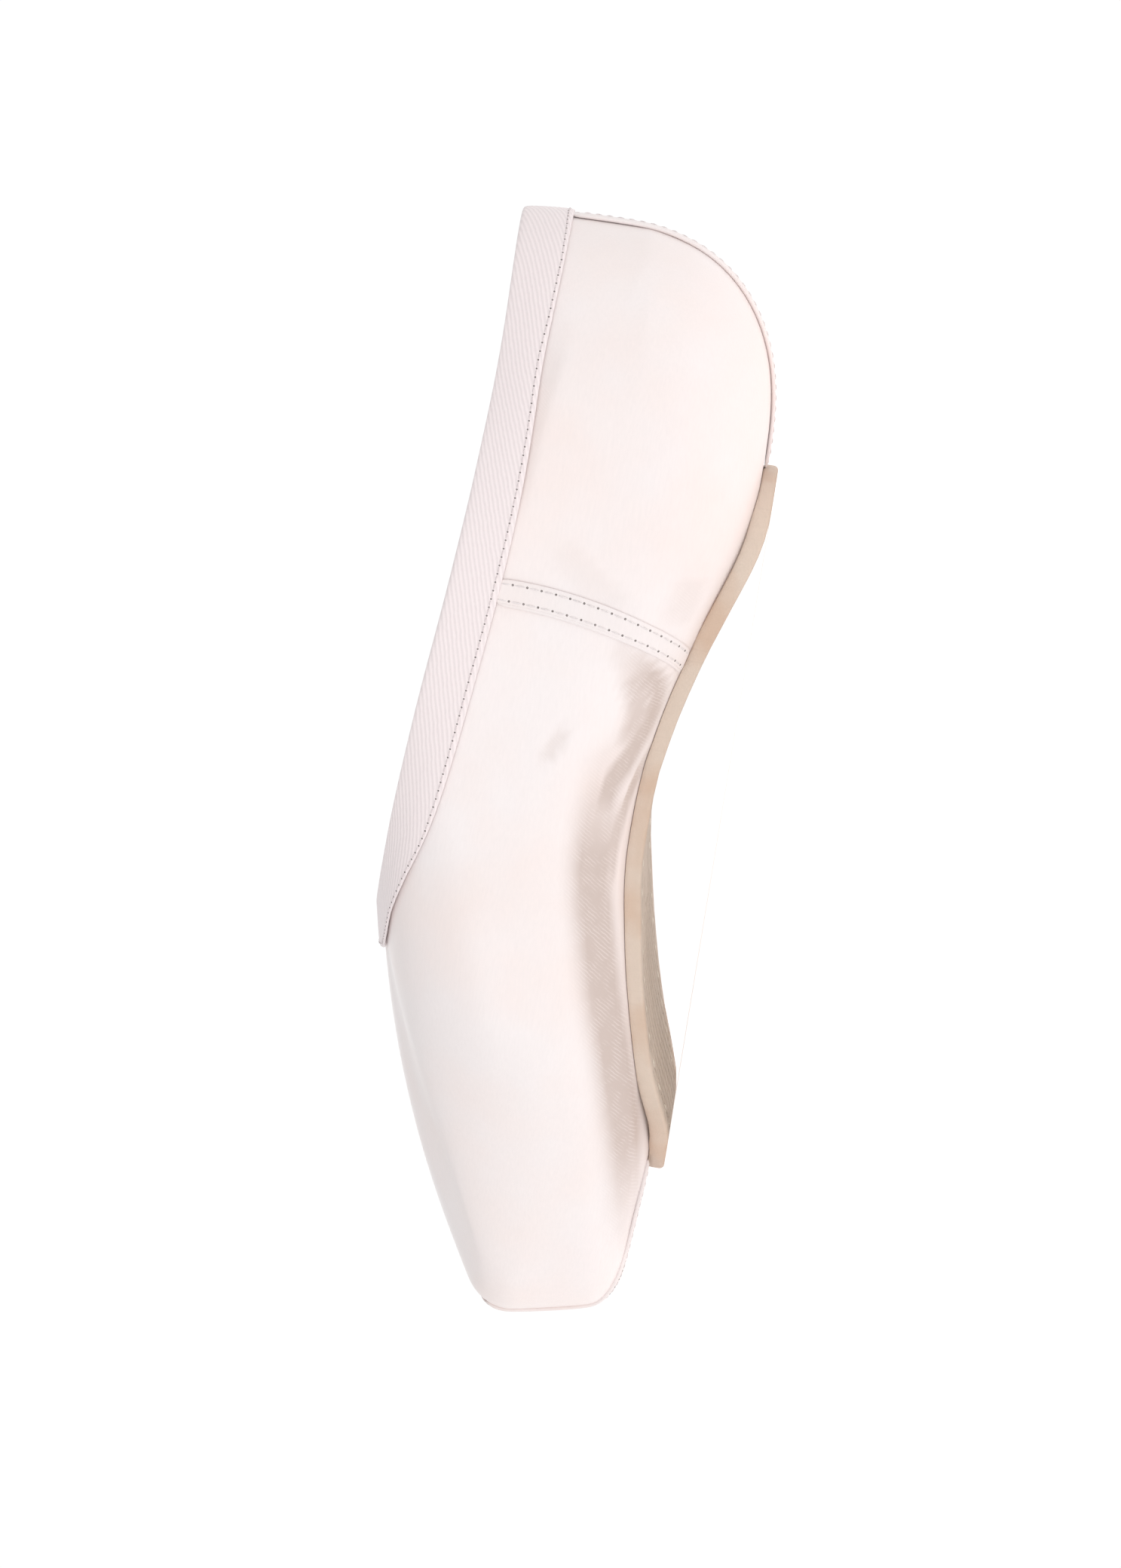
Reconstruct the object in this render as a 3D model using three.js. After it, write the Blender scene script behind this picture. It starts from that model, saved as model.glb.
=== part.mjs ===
// Pointe shoe, standing empty on its leather sole. Millimetres, +X to the toe, +Y to the shoe's left, +Z up.
// The last is straight, so the shoe is the same on both sides of the XZ plane and fits either foot.
import * as THREE from "three";

// Last
const shoeLength = 245;
const ballWidth = 85;
const heelHeight = 63;
const throatHeight = 71;
const throatReach = 86;
const openingWidth = 60;

// Toe box
const platformWidth = 53;
const platformLean = 7;
const platformCorner = 12;
const platformCrown = 6.5;
const toeSpring = 3;
const vampCrown = 4;

// Outsole
const heelOverhang = 48.5;
const soleLength = 161;
const soleWidth = 58;
const soleThickness = 3;
const soleEdgeRound = 1;
const archRise = 15.5;
const heelSeat = 8;
const treadFlat = 12;

// Walls and layers
const quarterWall = 1.6;
const boxWall = 2.6;
const featherMargin = 4;
const insoleThickness = 2.2;
const layerGap = 0.3;

// Trimmings
const bindingOutside = 10.5;
const bindingInside = 8;
const bindingThickness = 0.8;
const tapeWidth = 6;
const tapeThickness = 0.7;
const tapeTopAt = 78;
const tapeFootAt = 90.5;
const tapeSweep = 2.2;
const backSeamWidth = 3;
const backSeamThickness = 0.8;
const panelThickness = 0.6;
const panelSpread = 16;

// How each plan outline closes at its ends: over what length, and how square.
const lastHeelEnd = { round: 34, power: 2.5 };
const openingBackEnd = { round: 24, power: 2.3 };
const openingThroatEnd = { round: 34, power: 2 };
const soleHeelEnd = { round: 20, power: 2.3 };
const soleToeEnd = { round: 34, power: 2.2 };
const openingBackInset = 1;

// Where the rays in plan start, from the sole's heel end and from the throat, and over what length round the
// throat the wall stiffens into the box.
const heelPivotIn = 18;
const toePivotBack = 15;
const stiffeningBefore = 10;
const stiffeningPast = 45;

// How finely the curves are worked out.
const searchSteps = 36;
const lineSteps = 4;
const turnSteps = 16;
const turnWeight = 0.72;
const normalStep = 0.4;
const normalTurn = 0.004;
const slabSteps = 36;
const slabCrowding = 0.75;

const half = (width) => width / 2;
const soleEnd = heelOverhang + soleLength;
const throatAt = shoeLength - throatReach;
const undersideLift = soleThickness + layerGap;

// The last, by shares of the shoe's length. rim: half width where the underside turns up, and brow: where
// the wall turns in, both as shares of half the ball width. tuck: the rim's rise over the underside, as a
// share of the toe spring. height: the brow's, as a share of the throat's.
const last = [
  { at: 0, rim: 0.585, brow: 0.585, tuck: 0, height: 0.74 },
  { at: 0.1, rim: 0.685, brow: 0.635, tuck: 0.2, height: 0.75 },
  { at: 0.2, rim: 0.73, brow: 0.68, tuck: 0.4, height: 0.76 },
  { at: 0.3, rim: 0.7, brow: 0.7, tuck: 0.6, height: 0.79 },
  { at: 0.4, rim: 0.765, brow: 0.735, tuck: 0.75, height: 0.83 },
  { at: 0.53, rim: 0.86, brow: 0.855, tuck: 0.75, height: 0.87 },
  { at: 0.64, rim: 0.98, brow: 0.97, tuck: 0.6, height: 0.88 },
  { at: 0.71, rim: 1, brow: 0.98, tuck: 0.6, height: 0.83 },
  { at: 0.8, rim: 0.865, brow: 0.85, tuck: 0.7, height: 0.765 },
  { at: 0.89, rim: 0.73, brow: 0.72, tuck: 0.9, height: 0.61 },
  { at: 0.96, rim: 0.655, brow: 0.645, tuck: 0.95, height: 0.485 },
  { at: 1, rim: platformWidth / ballWidth, brow: platformWidth / ballWidth, tuck: 1, height: 0.445 },
];

// How far each turn reaches along the lines beside it, as shares of those lines: from the rim in under the
// foot and up the wall, and from the brow down the wall and in over the foot.
const turns = [
  { at: 0, rimIn: 0.74, rimUp: 0.64, browDown: 0.3, browIn: 0.5 },
  { at: 0.1, rimIn: 0.86, rimUp: 0.56, browDown: 0.35, browIn: 0.5 },
  { at: 0.24, rimIn: 0.92, rimUp: 0.55, browDown: 0.35, browIn: 0.5 },
  { at: 0.4, rimIn: 0.88, rimUp: 0.56, browDown: 0.35, browIn: 0.5 },
  { at: 0.53, rimIn: 0.84, rimUp: 0.5, browDown: 0.4, browIn: 0.6 },
  { at: 0.64, rimIn: 0.8, rimUp: 0.42, browDown: 0.46, browIn: 0.7 },
  { at: 0.71, rimIn: 0.75, rimUp: 0.4, browDown: 0.48, browIn: 0.65 },
  { at: 0.8, rimIn: 0.6, rimUp: 0.38, browDown: 0.5, browIn: 0.5 },
  { at: 0.89, rimIn: 0.4, rimUp: 0.32, browDown: 0.44, browIn: 0.3 },
  { at: 0.96, rimIn: 0.24, rimUp: 0.22, browDown: 0.28, browIn: 0.11 },
  { at: 1, rimIn: 0.22, rimUp: 0.2, browDown: 0.24, browIn: 0.08 },
];

// The opening, by shares of the way from the heel's back to the throat. half: share of half its width.
// height: share of the throat height.
const opening = [
  { at: 0.0, half: 0.66, height: heelHeight / throatHeight },
  { at: 0.15, half: 0.73, height: 0.88 },
  { at: 0.32, half: 0.87, height: 0.895 },
  { at: 0.5, half: 0.97, height: 0.925 },
  { at: 0.68, half: 1.0, height: 0.965 },
  { at: 0.85, half: 0.96, height: 0.99 },
  { at: 1.0, half: 0.85, height: 1.0 },
];

// The outsole's plan, by shares of its length. half: share of half its width.
const solePlan = [
  { at: 0.0, half: 0.6 },
  { at: 0.1, half: 0.665 },
  { at: 0.18, half: 0.64 },
  { at: 0.28, half: 0.52 },
  { at: 0.36, half: 0.52 },
  { at: 0.46, half: 0.62 },
  { at: 0.58, half: 0.84 },
  { at: 0.7, half: 0.985 },
  { at: 0.76, half: 1.0 },
  { at: 0.84, half: 0.98 },
  { at: 0.92, half: 0.9 },
  { at: 1.0, half: 0.8 },
];

// The arch under the sole, by shares of the way from the heel seat to the tread. lift: share of its rise.
const archShape = [
  { at: 0, lift: 0 },
  { at: 0.03, lift: 0.03 },
  { at: 0.08, lift: 0.14 },
  { at: 0.14, lift: 0.32 },
  { at: 0.25, lift: 0.62 },
  { at: 0.36, lift: 0.86 },
  { at: 0.46, lift: 0.99 },
  { at: 0.54, lift: 1 },
  { at: 0.68, lift: 0.82 },
  { at: 0.8, lift: 0.58 },
  { at: 0.88, lift: 0.37 },
  { at: 0.94, lift: 0.16 },
  { at: 0.98, lift: 0.03 },
  { at: 1, lift: 0 },
];

// Rays round the toe, by shares of the fan. angle: degrees off the middle line, crowded at the corners.
const toeFan = [
  { at: 0, angle: 90 },
  { at: 0.25, angle: 52 },
  { at: 0.5, angle: 20.5 },
  { at: 0.56, angle: 17.5 },
  { at: 0.85, angle: 8.5 },
  { at: 1, angle: 0 },
];

// A smooth line through one column of a table, with no overshoot between its rows.
function column(rows, key) {
  const x = rows.map((row) => row.at);
  const y = rows.map((row) => row[key]);
  const slope = y.slice(1).map((value, i) => (value - y[i]) / (x[i + 1] - x[i]));
  const tangent = y.map((_, i) => {
    if (i === 0) return slope[0];
    if (i === y.length - 1) return slope[i - 1];
    const [before, after] = [slope[i - 1], slope[i]];
    return before * after <= 0 ? 0 : (2 * before * after) / (before + after);
  });
  return (at) => {
    const t = THREE.MathUtils.clamp(at, x[0], x[x.length - 1]);
    const i = Math.max(x.findIndex((value) => value >= t) - 1, 0);
    const h = x[i + 1] - x[i];
    const s = (t - x[i]) / h;
    const [a, b] = [(1 - s) ** 2, s ** 2];
    const bend = (1 - s) * tangent[i] - s * tangent[i + 1];
    return a * (1 + 2 * s) * y[i] + b * (3 - 2 * s) * y[i + 1] + h * s * (1 - s) * bend;
  };
}

const columns = (rows) => Object.fromEntries(Object.keys(rows[0]).map((key) => [key, column(rows, key)]));

// How much of its width an outline keeps near one end: it closes over the round's length as a superellipse.
function endRound(distance, { round, power }) {
  if (distance <= 0) return 0;
  if (distance >= round) return 1;
  return (1 - (1 - distance / round) ** power) ** (1 / power);
}

const lastAt = columns(last);
const turnsAt = columns(turns);
const openingHalf = column(opening, "half");
const openingHeight = column(opening, "height");
const solePlanHalf = column(solePlan, "half");
const archLift = column(archShape, "lift");
const toeAngle = column(toeFan, "angle");

// Half width of each plan outline at x, zero past its ends.
function lastHalf(x, key, end) {
  if (x >= end) return 0;
  const body = half(ballWidth) * lastAt[key](x / shoeLength) * endRound(x, lastHeelEnd);
  const past = Math.max(x - (end - platformCorner), 0);
  return body - platformCorner + Math.sqrt(platformCorner ** 2 - past ** 2);
}
const rimHalf = (x) => lastHalf(x, "rim", shoeLength - platformLean);
const browHalf = (x) => lastHalf(x, "brow", shoeLength);
function collarHalf(x) {
  return half(openingWidth) * openingHalf(x / throatAt) *
    endRound(x - openingBackInset, openingBackEnd) * endRound(throatAt - x, openingThroatEnd);
}
function soleHalf(x, inset = 0) {
  const along = x - heelOverhang;
  const body = half(soleWidth) * solePlanHalf(along / soleLength) - inset;
  return body * endRound(along - inset, soleHeelEnd) * endRound(soleLength - inset - along, soleToeEnd);
}

// Heights along the shoe.
function soleUnderside(x) {
  const from = heelOverhang + heelSeat;
  const to = soleEnd - treadFlat;
  return x <= from || x >= to ? 0 : archRise * archLift((x - from) / (to - from));
}
const underside = (x) => soleUnderside(x) + undersideLift;
const rimHeight = (x) => underside(x) + toeSpring * lastAt.tuck(x / shoeLength);
const browHeight = (x) => throatHeight * lastAt.height(x / shoeLength);
const crownShare = (y) => Math.max(1 - (y / half(platformWidth)) ** 2, 0);
const collarHeight = (x) => throatHeight * openingHeight(x / throatAt);
function wallAt(x) {
  const share = THREE.MathUtils.smoothstep(x, throatAt - stiffeningBefore, throatAt + stiffeningPast);
  return THREE.MathUtils.lerp(quarterWall, boxWall, share);
}

// Rays in plan from the middle line to the shoe's edge: a fan round the heel, parallel ones along the side
// and a fan round the toe. turn goes from 0 at the heel's back to 1 at the toe's middle.
const heelRays = 10;
const heelCrowding = 1.4;
const sideRays = 9;
const toeRays = 16;
const halfRays = heelRays + sideRays + toeRays;
const heelPivot = heelOverhang + heelPivotIn;
const toePivot = throatAt - toePivotBack;
function ray(turn) {
  const place = turn * halfRays;
  if (place <= heelRays) {
    return { base: heelPivot, angle: Math.PI - half(Math.PI) * (place / heelRays) ** heelCrowding };
  }
  if (place <= heelRays + sideRays) {
    const share = (place - heelRays) / sideRays;
    return { base: THREE.MathUtils.lerp(heelPivot, toePivot, share), angle: half(Math.PI) };
  }
  const angle = toeAngle((place - heelRays - sideRays) / toeRays);
  return { base: toePivot, angle: THREE.MathUtils.degToRad(angle) };
}
const turnAtX = (x) => (heelRays + (sideRays * (x - heelPivot)) / (toePivot - heelPivot)) / halfRays;

// The distance along a ray to a plan outline.
function reach({ base, angle }, outline) {
  let [low, high] = [0, shoeLength];
  for (let step = 0; step < searchSteps; step++) {
    const middle = half(low + high);
    const x = base + middle * Math.cos(angle);
    const width = outline(x);
    if (width > 0 && middle * Math.sin(angle) < width) low = middle;
    else high = middle;
  }
  return low;
}

// A turn between two straight lines, as a conic that starts and ends on them.
function turnBetween(start, corner, end, steps) {
  return Array.from({ length: steps + 1 }, (_, i) => {
    const t = i / steps;
    const [a, b, c] = [(1 - t) ** 2, 2 * t * (1 - t) * turnWeight, t ** 2];
    return new THREE.Vector2().addScaledVector(start, a).addScaledVector(corner, b).addScaledVector(end, c)
      .divideScalar(a + b + c);
  });
}
function lineBetween(start, end, steps, crown = 0) {
  const side = new THREE.Vector2(start.y - end.y, end.x - start.x).normalize();
  if (side.y < 0) side.negate();
  return Array.from({ length: steps + 1 }, (_, i) => {
    const t = i / steps;
    return start.clone().lerp(end, t).addScaledVector(side, crown * 4 * t * (1 - t));
  });
}

// One rib of the upper, in the upright plane of its ray: from the feather edge under the foot, round the rim
// and the brow, to the edge of the opening. marks are the lengths along it where each stretch ends.
const ribs = new Map();
function rib(turn) {
  const known = ribs.get(turn);
  if (known) return known;
  const line = ray(turn);
  const at = (outline, height, inset = 0) => {
    const distance = reach(line, (x) => outline(x, inset));
    const x = line.base + distance * Math.cos(line.angle);
    return { x, point: new THREE.Vector2(distance, height(x)) };
  };
  const feather = at(soleHalf, underside, featherMargin);
  const rim = at(rimHalf, rimHeight);
  const brow = at(browHalf, browHeight);
  if (brow.x > toePivot) brow.point.y += platformCrown * crownShare(brow.point.x * Math.sin(line.angle));
  const collar = at(collarHalf, collarHeight);
  const share = (key) => turnsAt[key](brow.x / shoeLength);
  const rimStart = rim.point.clone().lerp(feather.point, share("rimIn"));
  const rimEnd = rim.point.clone().lerp(brow.point, share("rimUp"));
  const browStart = brow.point.clone().lerp(rim.point, share("browDown"));
  const browEnd = brow.point.clone().lerp(collar.point, share("browIn"));
  const top = browEnd.distanceTo(collar.point);
  const crown = vampCrown * Math.min((top / throatReach) ** 2, 1);
  const stretches = [
    lineBetween(feather.point, rimStart, lineSteps),
    turnBetween(rimStart, rim.point, rimEnd, turnSteps),
    lineBetween(rimEnd, browStart, lineSteps),
    turnBetween(browStart, brow.point, browEnd, turnSteps),
    lineBetween(browEnd, collar.point, turnSteps, crown),
  ];
  const path = [stretches[0][0]];
  const along = [0];
  const marks = [0];
  for (const stretch of stretches) {
    for (const point of stretch.slice(1)) {
      along.push(along[along.length - 1] + point.distanceTo(path[path.length - 1]));
      path.push(point);
    }
    marks.push(along[along.length - 1]);
  }
  const result = { line, path, along, marks, length: along[along.length - 1] };
  ribs.set(turn, result);
  return result;
}

// The point at one length along a rib. Past either end it goes on straight.
function ribPoint({ path, along }, length) {
  let i = along.findIndex((value) => value >= length);
  if (i < 0) i = along.length - 1;
  i = Math.max(i, 1);
  return path[i - 1].clone().lerp(path[i], (length - along[i - 1]) / (along[i] - along[i - 1]));
}

// The upper's outer face. loop goes round the shoe: from 0 at the heel's back to 1 at the toe's middle along
// the left side, and on to 2 along the right. length is measured along the rib from the feather edge.
const turnOf = (loop) => 1 - Math.abs(1 - THREE.MathUtils.euclideanModulo(loop, 2));
const sideOf = (loop) => (THREE.MathUtils.euclideanModulo(loop, 2) <= 1 ? 1 : -1);
function face(loop, length) {
  const it = rib(turnOf(loop));
  const { x: out, y: up } = ribPoint(it, length);
  const { base, angle } = it.line;
  return new THREE.Vector3(base + out * Math.cos(angle), sideOf(loop) * out * Math.sin(angle), up);
}
function faceNormal(loop, length) {
  const along = face(loop, length + normalStep).sub(face(loop, length - normalStep));
  const share = length / rib(turnOf(loop)).length;
  const beside = (to) => face(loop + to, share * rib(turnOf(loop + to)).length);
  const across = beside(normalTurn).sub(beside(-normalTurn));
  return along.cross(across).normalize();
}
function offFace(loop, length, offset) {
  return face(loop, length).addScaledVector(faceNormal(loop, length), offset);
}

// A closed solid from rings of points round the shoe, each ring joined to the next and the last to the
// first. The right half's faces are split the other way, so that both sides are alike.
function solidOfRings(rings, material, name) {
  const count = rings[0].length;
  const positions = rings.flat().flatMap((p) => [p.x, p.y, p.z]);
  const index = [];
  rings.forEach((_, i) => {
    const next = (i + 1) % rings.length;
    for (let j = 0; j < count; j++) {
      const k = (j + 1) % count;
      const [a, b, c, d] = [i * count + j, next * count + j, next * count + k, i * count + k];
      if (i < half(rings.length)) index.push(a, b, c, a, c, d);
      else index.push(a, b, d, b, c, d);
    }
  });
  return meshFrom(positions, index, material, name);
}

function meshFrom(positions, index, material, name) {
  const turned = (_, i) => index[i - (i % 3) + (2 - (i % 3))];
  const geometry = new THREE.BufferGeometry();
  geometry.setAttribute("position", new THREE.Float32BufferAttribute(positions, 3));
  geometry.setIndex(volume(positions, index) < 0 ? index.map(turned) : index);
  geometry.computeVertexNormals();
  const mesh = new THREE.Mesh(geometry, material);
  mesh.name = name;
  return mesh;
}

function volume(positions, index) {
  const point = (i) => new THREE.Vector3().fromArray(positions, 3 * index[i]);
  let sum = 0;
  for (let i = 0; i < index.length; i += 3) sum += point(i).dot(point(i + 1).cross(point(i + 2)));
  return sum / 6;
}

// A layer laid on a face: a sheet of points and the same sheet lifted, closed round its edge.
function layer(bottom, top, material, name) {
  const [rows, columns] = [bottom.length, bottom[0].length];
  const positions = [...bottom.flat(), ...top.flat()].flatMap((p) => [p.x, p.y, p.z]);
  const index = [];
  const low = (i, j) => i * columns + j;
  const high = (i, j) => rows * columns + low(i, j);
  const quad = (a, b, c, d) => index.push(a, b, c, a, c, d);
  for (let i = 0; i < rows - 1; i++) {
    for (let j = 0; j < columns - 1; j++) {
      quad(low(i, j), low(i, j + 1), low(i + 1, j + 1), low(i + 1, j));
      quad(high(i, j), high(i + 1, j), high(i + 1, j + 1), high(i, j + 1));
    }
    quad(low(i, 0), low(i + 1, 0), high(i + 1, 0), high(i, 0));
    quad(low(i + 1, columns - 1), low(i, columns - 1), high(i, columns - 1), high(i + 1, columns - 1));
  }
  for (let j = 0; j < columns - 1; j++) {
    quad(low(0, j + 1), low(0, j), high(0, j), high(0, j + 1));
    quad(low(rows - 1, j), low(rows - 1, j + 1), high(rows - 1, j + 1), high(rows - 1, j));
  }
  return meshFrom(positions, index, material, name);
}

const shares = (count) => Array.from({ length: count + 1 }, (_, i) => i / count);
const loops = Array.from({ length: 2 * halfRays }, (_, i) => i / halfRays);

// The upper: one wall, open at the collar and under the foot, thicker at the box.
const rowSteps = [2, 5, 2, 5, 5];
function upper(material) {
  const rings = loops.map((loop) => {
    const { marks } = rib(turnOf(loop));
    const lengths = [0];
    rowSteps.forEach((steps, k) => {
      for (let i = 1; i <= steps; i++) lengths.push(THREE.MathUtils.lerp(marks[k], marks[k + 1], i / steps));
    });
    const outer = lengths.map((length) => face(loop, length));
    const inner = lengths.map((length, i) => offFace(loop, length, -wallAt(outer[i].x)));
    return [...outer, ...inner.reverse()];
  });
  return solidOfRings(rings, material, "upper");
}

// The binding: a tape folded over the edge of the opening.
function binding(material) {
  const g = layerGap;
  const t = bindingThickness;
  const outside = shares(3).map((s) => s * bindingOutside);
  const inside = shares(2).map((s) => s * bindingInside);
  const rings = loops.map((loop) => {
    const { length } = rib(turnOf(loop));
    const tangent = face(loop, length).sub(face(loop, length - 0.5)).normalize();
    const wall = (down) => wallAt(face(loop, length - Math.max(down, 0)).x);
    const put = (down, offset) => {
      const edge = length - Math.max(down, 0);
      return offFace(loop, edge, offset).addScaledVector(tangent, Math.max(-down, 0));
    };
    const putInside = (down, offset) => put(down, -wall(down) - offset);
    return [
      ...outside.map((down) => put(down, g + t)).reverse(),
      put(-g - 0.7 * t, g + 0.5 * t),
      put(-g - t, -half(wall(0))),
      putInside(-g - 0.7 * t, g + 0.5 * t),
      ...inside.map((down) => putInside(down, g + t)),
      ...inside.map((down) => putInside(down, g)).reverse(),
      putInside(-g, g),
      put(-g, g),
      ...outside.map((down) => put(down, g)),
    ];
  });
  return solidOfRings(rings, material, "binding");
}

// Where a rib comes out from over the sole, with room for the sole's edge.
function pastSole(turn) {
  const it = rib(turn);
  const edge = reach(it.line, soleHalf) + 2 * layerGap;
  const i = it.path.findIndex((point) => point.x >= edge);
  const [a, b] = [it.path[i - 1], it.path[i]];
  return THREE.MathUtils.lerp(it.along[i - 1], it.along[i], (edge - a.x) / (b.x - a.x));
}

// A tape down one side, from the binding to the sole, sweeping to the toe as it goes down.
function sideSeam(side, material, name) {
  const sheet = (offset) => shares(12).map((down) => shares(3).map((across) => {
    const x = THREE.MathUtils.lerp(tapeTopAt, tapeFootAt, down ** tapeSweep) + tapeWidth * (across - 0.5);
    const turn = turnAtX(x);
    const loop = side > 0 ? turn : 2 - turn;
    const from = rib(turn).length - bindingOutside - layerGap;
    return offFace(loop, THREE.MathUtils.lerp(from, pastSole(turn), down), offset);
  }));
  return layer(sheet(layerGap), sheet(layerGap + tapeThickness), material, name);
}

// A raised strip over the seam down the heel's back.
function backSeam(material) {
  const sheet = (offset) => shares(14).map((down) => shares(2).map((across) => {
    const wide = backSeamWidth * (across - 0.5);
    const from = rib(0).length - bindingOutside - layerGap;
    const length = THREE.MathUtils.lerp(from, pastSole(0), down);
    return offFace(0, length, offset).add(new THREE.Vector3(0, wide, 0));
  }));
  return layer(sheet(layerGap), sheet(layerGap + backSeamThickness), material, "back_seam");
}

// The panel under the toe: from the end of the sole, round the rim and over the platform to its brow. Each
// stretch has its steps, and at each end of a stretch the panel takes a share of its spread.
const panelRows = [4, 5, 2, 3];
const panelNarrowing = [1, 1.03, 0.74, 0.66, 0.62];
function toePanel(material) {
  const turnAtAngle = (degrees) => {
    let [low, high] = [0, 1];
    for (let step = 0; step < searchSteps; step++) {
      const middle = half(low + high);
      if (toeAngle(middle) > degrees) low = middle;
      else high = middle;
    }
    return (heelRays + sideRays + toeRays * low) / halfRays;
  };
  const rows = panelRows.flatMap((steps, k) => shares(steps).slice(k ? 1 : 0).map((down) => ({ k, down })));
  const sheet = (offset) => shares(16).map((across) => rows.map(({ k, down }) => {
    const eased = THREE.MathUtils.smoothstep(down, 0, 1);
    const spread = panelSpread * THREE.MathUtils.lerp(panelNarrowing[k], panelNarrowing[k + 1], eased);
    const angle = spread * (1 - 2 * across);
    const turn = turnAtAngle(Math.abs(angle));
    const { marks } = rib(turn);
    const ends = [pastSole(turn), marks[1], marks[2], marks[3], half(marks[3] + marks[4])];
    return offFace(angle >= 0 ? turn : 2 - turn, THREE.MathUtils.lerp(ends[k], ends[k + 1], down), offset);
  }));
  return layer(sheet(layerGap), sheet(layerGap + panelThickness), material, "toe_panel");
}

// A slab that follows the arch: rings of points round its plan, from the middle of its underside to its top.
function slab(halfAt, from, to, height, profile, material, name) {
  const stations = shares(slabSteps).map((s) => {
    const eased = half(1 - Math.cos(Math.PI * s));
    return THREE.MathUtils.lerp(s, eased, slabCrowding);
  });
  const ring = ({ inset, up }) => {
    const x = stations.map((s) => THREE.MathUtils.lerp(from + inset, to - inset, s));
    const left = x.map((value) => new THREE.Vector3(value, halfAt(value, inset), height(value) + up));
    const right = left.slice(1, -1).reverse().map((p) => new THREE.Vector3(p.x, -p.y, p.z));
    left[0].y = 0;
    left[left.length - 1].y = 0;
    return [...left, ...right];
  };
  const rings = profile.map(ring);
  const count = rings[0].length;
  const positions = rings.flat().flatMap((p) => [p.x, p.y, p.z]);
  const index = [];
  for (let i = 0; i < rings.length - 1; i++) {
    for (let j = 0; j < count; j++) {
      const k = (j + 1) % count;
      const [a, b, c, d] = [i * count + j, i * count + k, (i + 1) * count + k, (i + 1) * count + j];
      index.push(a, b, c, a, c, d);
    }
  }
  const across = (j) => (count - j) % count;
  const lid = (ringAt, upward) => {
    const put = (a, b, c) => index.push(...(upward ? [a, b, c] : [a, c, b]).map((v) => ringAt * count + v));
    for (let j = 0; j < half(count); j++) {
      const [a, b, c, d] = [j, j + 1, across(j + 1), across(j)];
      if (a !== d) put(a, d, b);
      if (b !== c) put(b, d, c);
    }
  };
  lid(0, true);
  lid(rings.length - 1, false);
  return meshFrom(positions, index, material, name);
}

function outsole(material) {
  const r = soleEdgeRound;
  const t = soleThickness;
  return slab(soleHalf, heelOverhang, soleEnd, soleUnderside, [
    { inset: r, up: 0 },
    { inset: 0.3 * r, up: 0.3 * r },
    { inset: 0, up: r },
    { inset: 0, up: t - 0.7 * r },
    { inset: 0.4 * r, up: t - 0.15 * r },
    { inset: r, up: t },
  ], material, "outsole");
}

function insole(material) {
  const inset = half(featherMargin);
  const lift = boxWall + 4 * layerGap;
  const t = insoleThickness;
  const plan = (x, more) => soleHalf(x, inset + more);
  const height = (x) => underside(x) + lift;
  return slab(plan, heelOverhang + inset, soleEnd - inset, height, [
    { inset: 0.25 * t, up: 0 },
    { inset: 0, up: 0.25 * t },
    { inset: 0, up: 0.75 * t },
    { inset: 0.25 * t, up: t },
  ], material, "insole");
}

const material = (color, roughness) => new THREE.MeshStandardMaterial({ color, roughness, metalness: 0 });
const satin = material(0xf0dcd6, 0.35);
const twill = material(0xe7d7dc, 0.85);
const leather = material(0xc9b6a6, 0.75);
const board = material(0xd9c9b4, 0.8);

const shoe = new THREE.Group();
shoe.name = "pointe_shoe";
shoe.add(
  upper(satin),
  binding(twill),
  sideSeam(1, satin, "side_seam_left"),
  sideSeam(-1, satin, "side_seam_right"),
  backSeam(satin),
  toePanel(satin),
  outsole(leather),
  insole(board),
);

// The origin is under the middle of the shoe's length, on the floor.
shoe.position.x = -new THREE.Box3().setFromObject(shoe).getCenter(new THREE.Vector3()).x;

export default shoe;
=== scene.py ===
"""A pale satin pointe shoe, dressed around its solids with cloth, leather, seams and stitches."""

import math
import random

import bmesh
import bpy
import numpy as np
from bpy.props import FloatProperty, FloatVectorProperty, IntProperty
from mathutils import Matrix, Vector
from mathutils.bvhtree import BVHTree
from mathutils.kdtree import KDTree


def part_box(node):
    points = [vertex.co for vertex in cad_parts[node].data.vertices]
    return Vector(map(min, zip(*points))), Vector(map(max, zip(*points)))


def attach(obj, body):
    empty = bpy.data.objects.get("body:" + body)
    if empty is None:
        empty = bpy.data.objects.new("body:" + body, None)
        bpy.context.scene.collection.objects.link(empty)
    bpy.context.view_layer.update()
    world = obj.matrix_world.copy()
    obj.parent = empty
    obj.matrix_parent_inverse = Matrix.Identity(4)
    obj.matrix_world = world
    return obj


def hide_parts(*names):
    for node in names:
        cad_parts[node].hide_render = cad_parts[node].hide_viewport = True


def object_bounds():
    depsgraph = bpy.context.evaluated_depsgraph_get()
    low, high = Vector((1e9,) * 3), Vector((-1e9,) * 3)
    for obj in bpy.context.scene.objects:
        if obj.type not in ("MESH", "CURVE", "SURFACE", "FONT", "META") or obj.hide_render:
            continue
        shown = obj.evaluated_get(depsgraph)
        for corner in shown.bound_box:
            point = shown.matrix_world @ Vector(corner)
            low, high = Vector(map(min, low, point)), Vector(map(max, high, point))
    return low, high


bl_info = {
    "name": "Pointe Shoe",
    "version": (1, 0, 0),
    "blender": (4, 5, 0),
    "location": "View3D > Sidebar > Pointe Shoe",
    "description": "Dresses the solids of a pointe shoe with satin, twill, leather, seams and stitches",
    "category": "Add Mesh",
}

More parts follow.
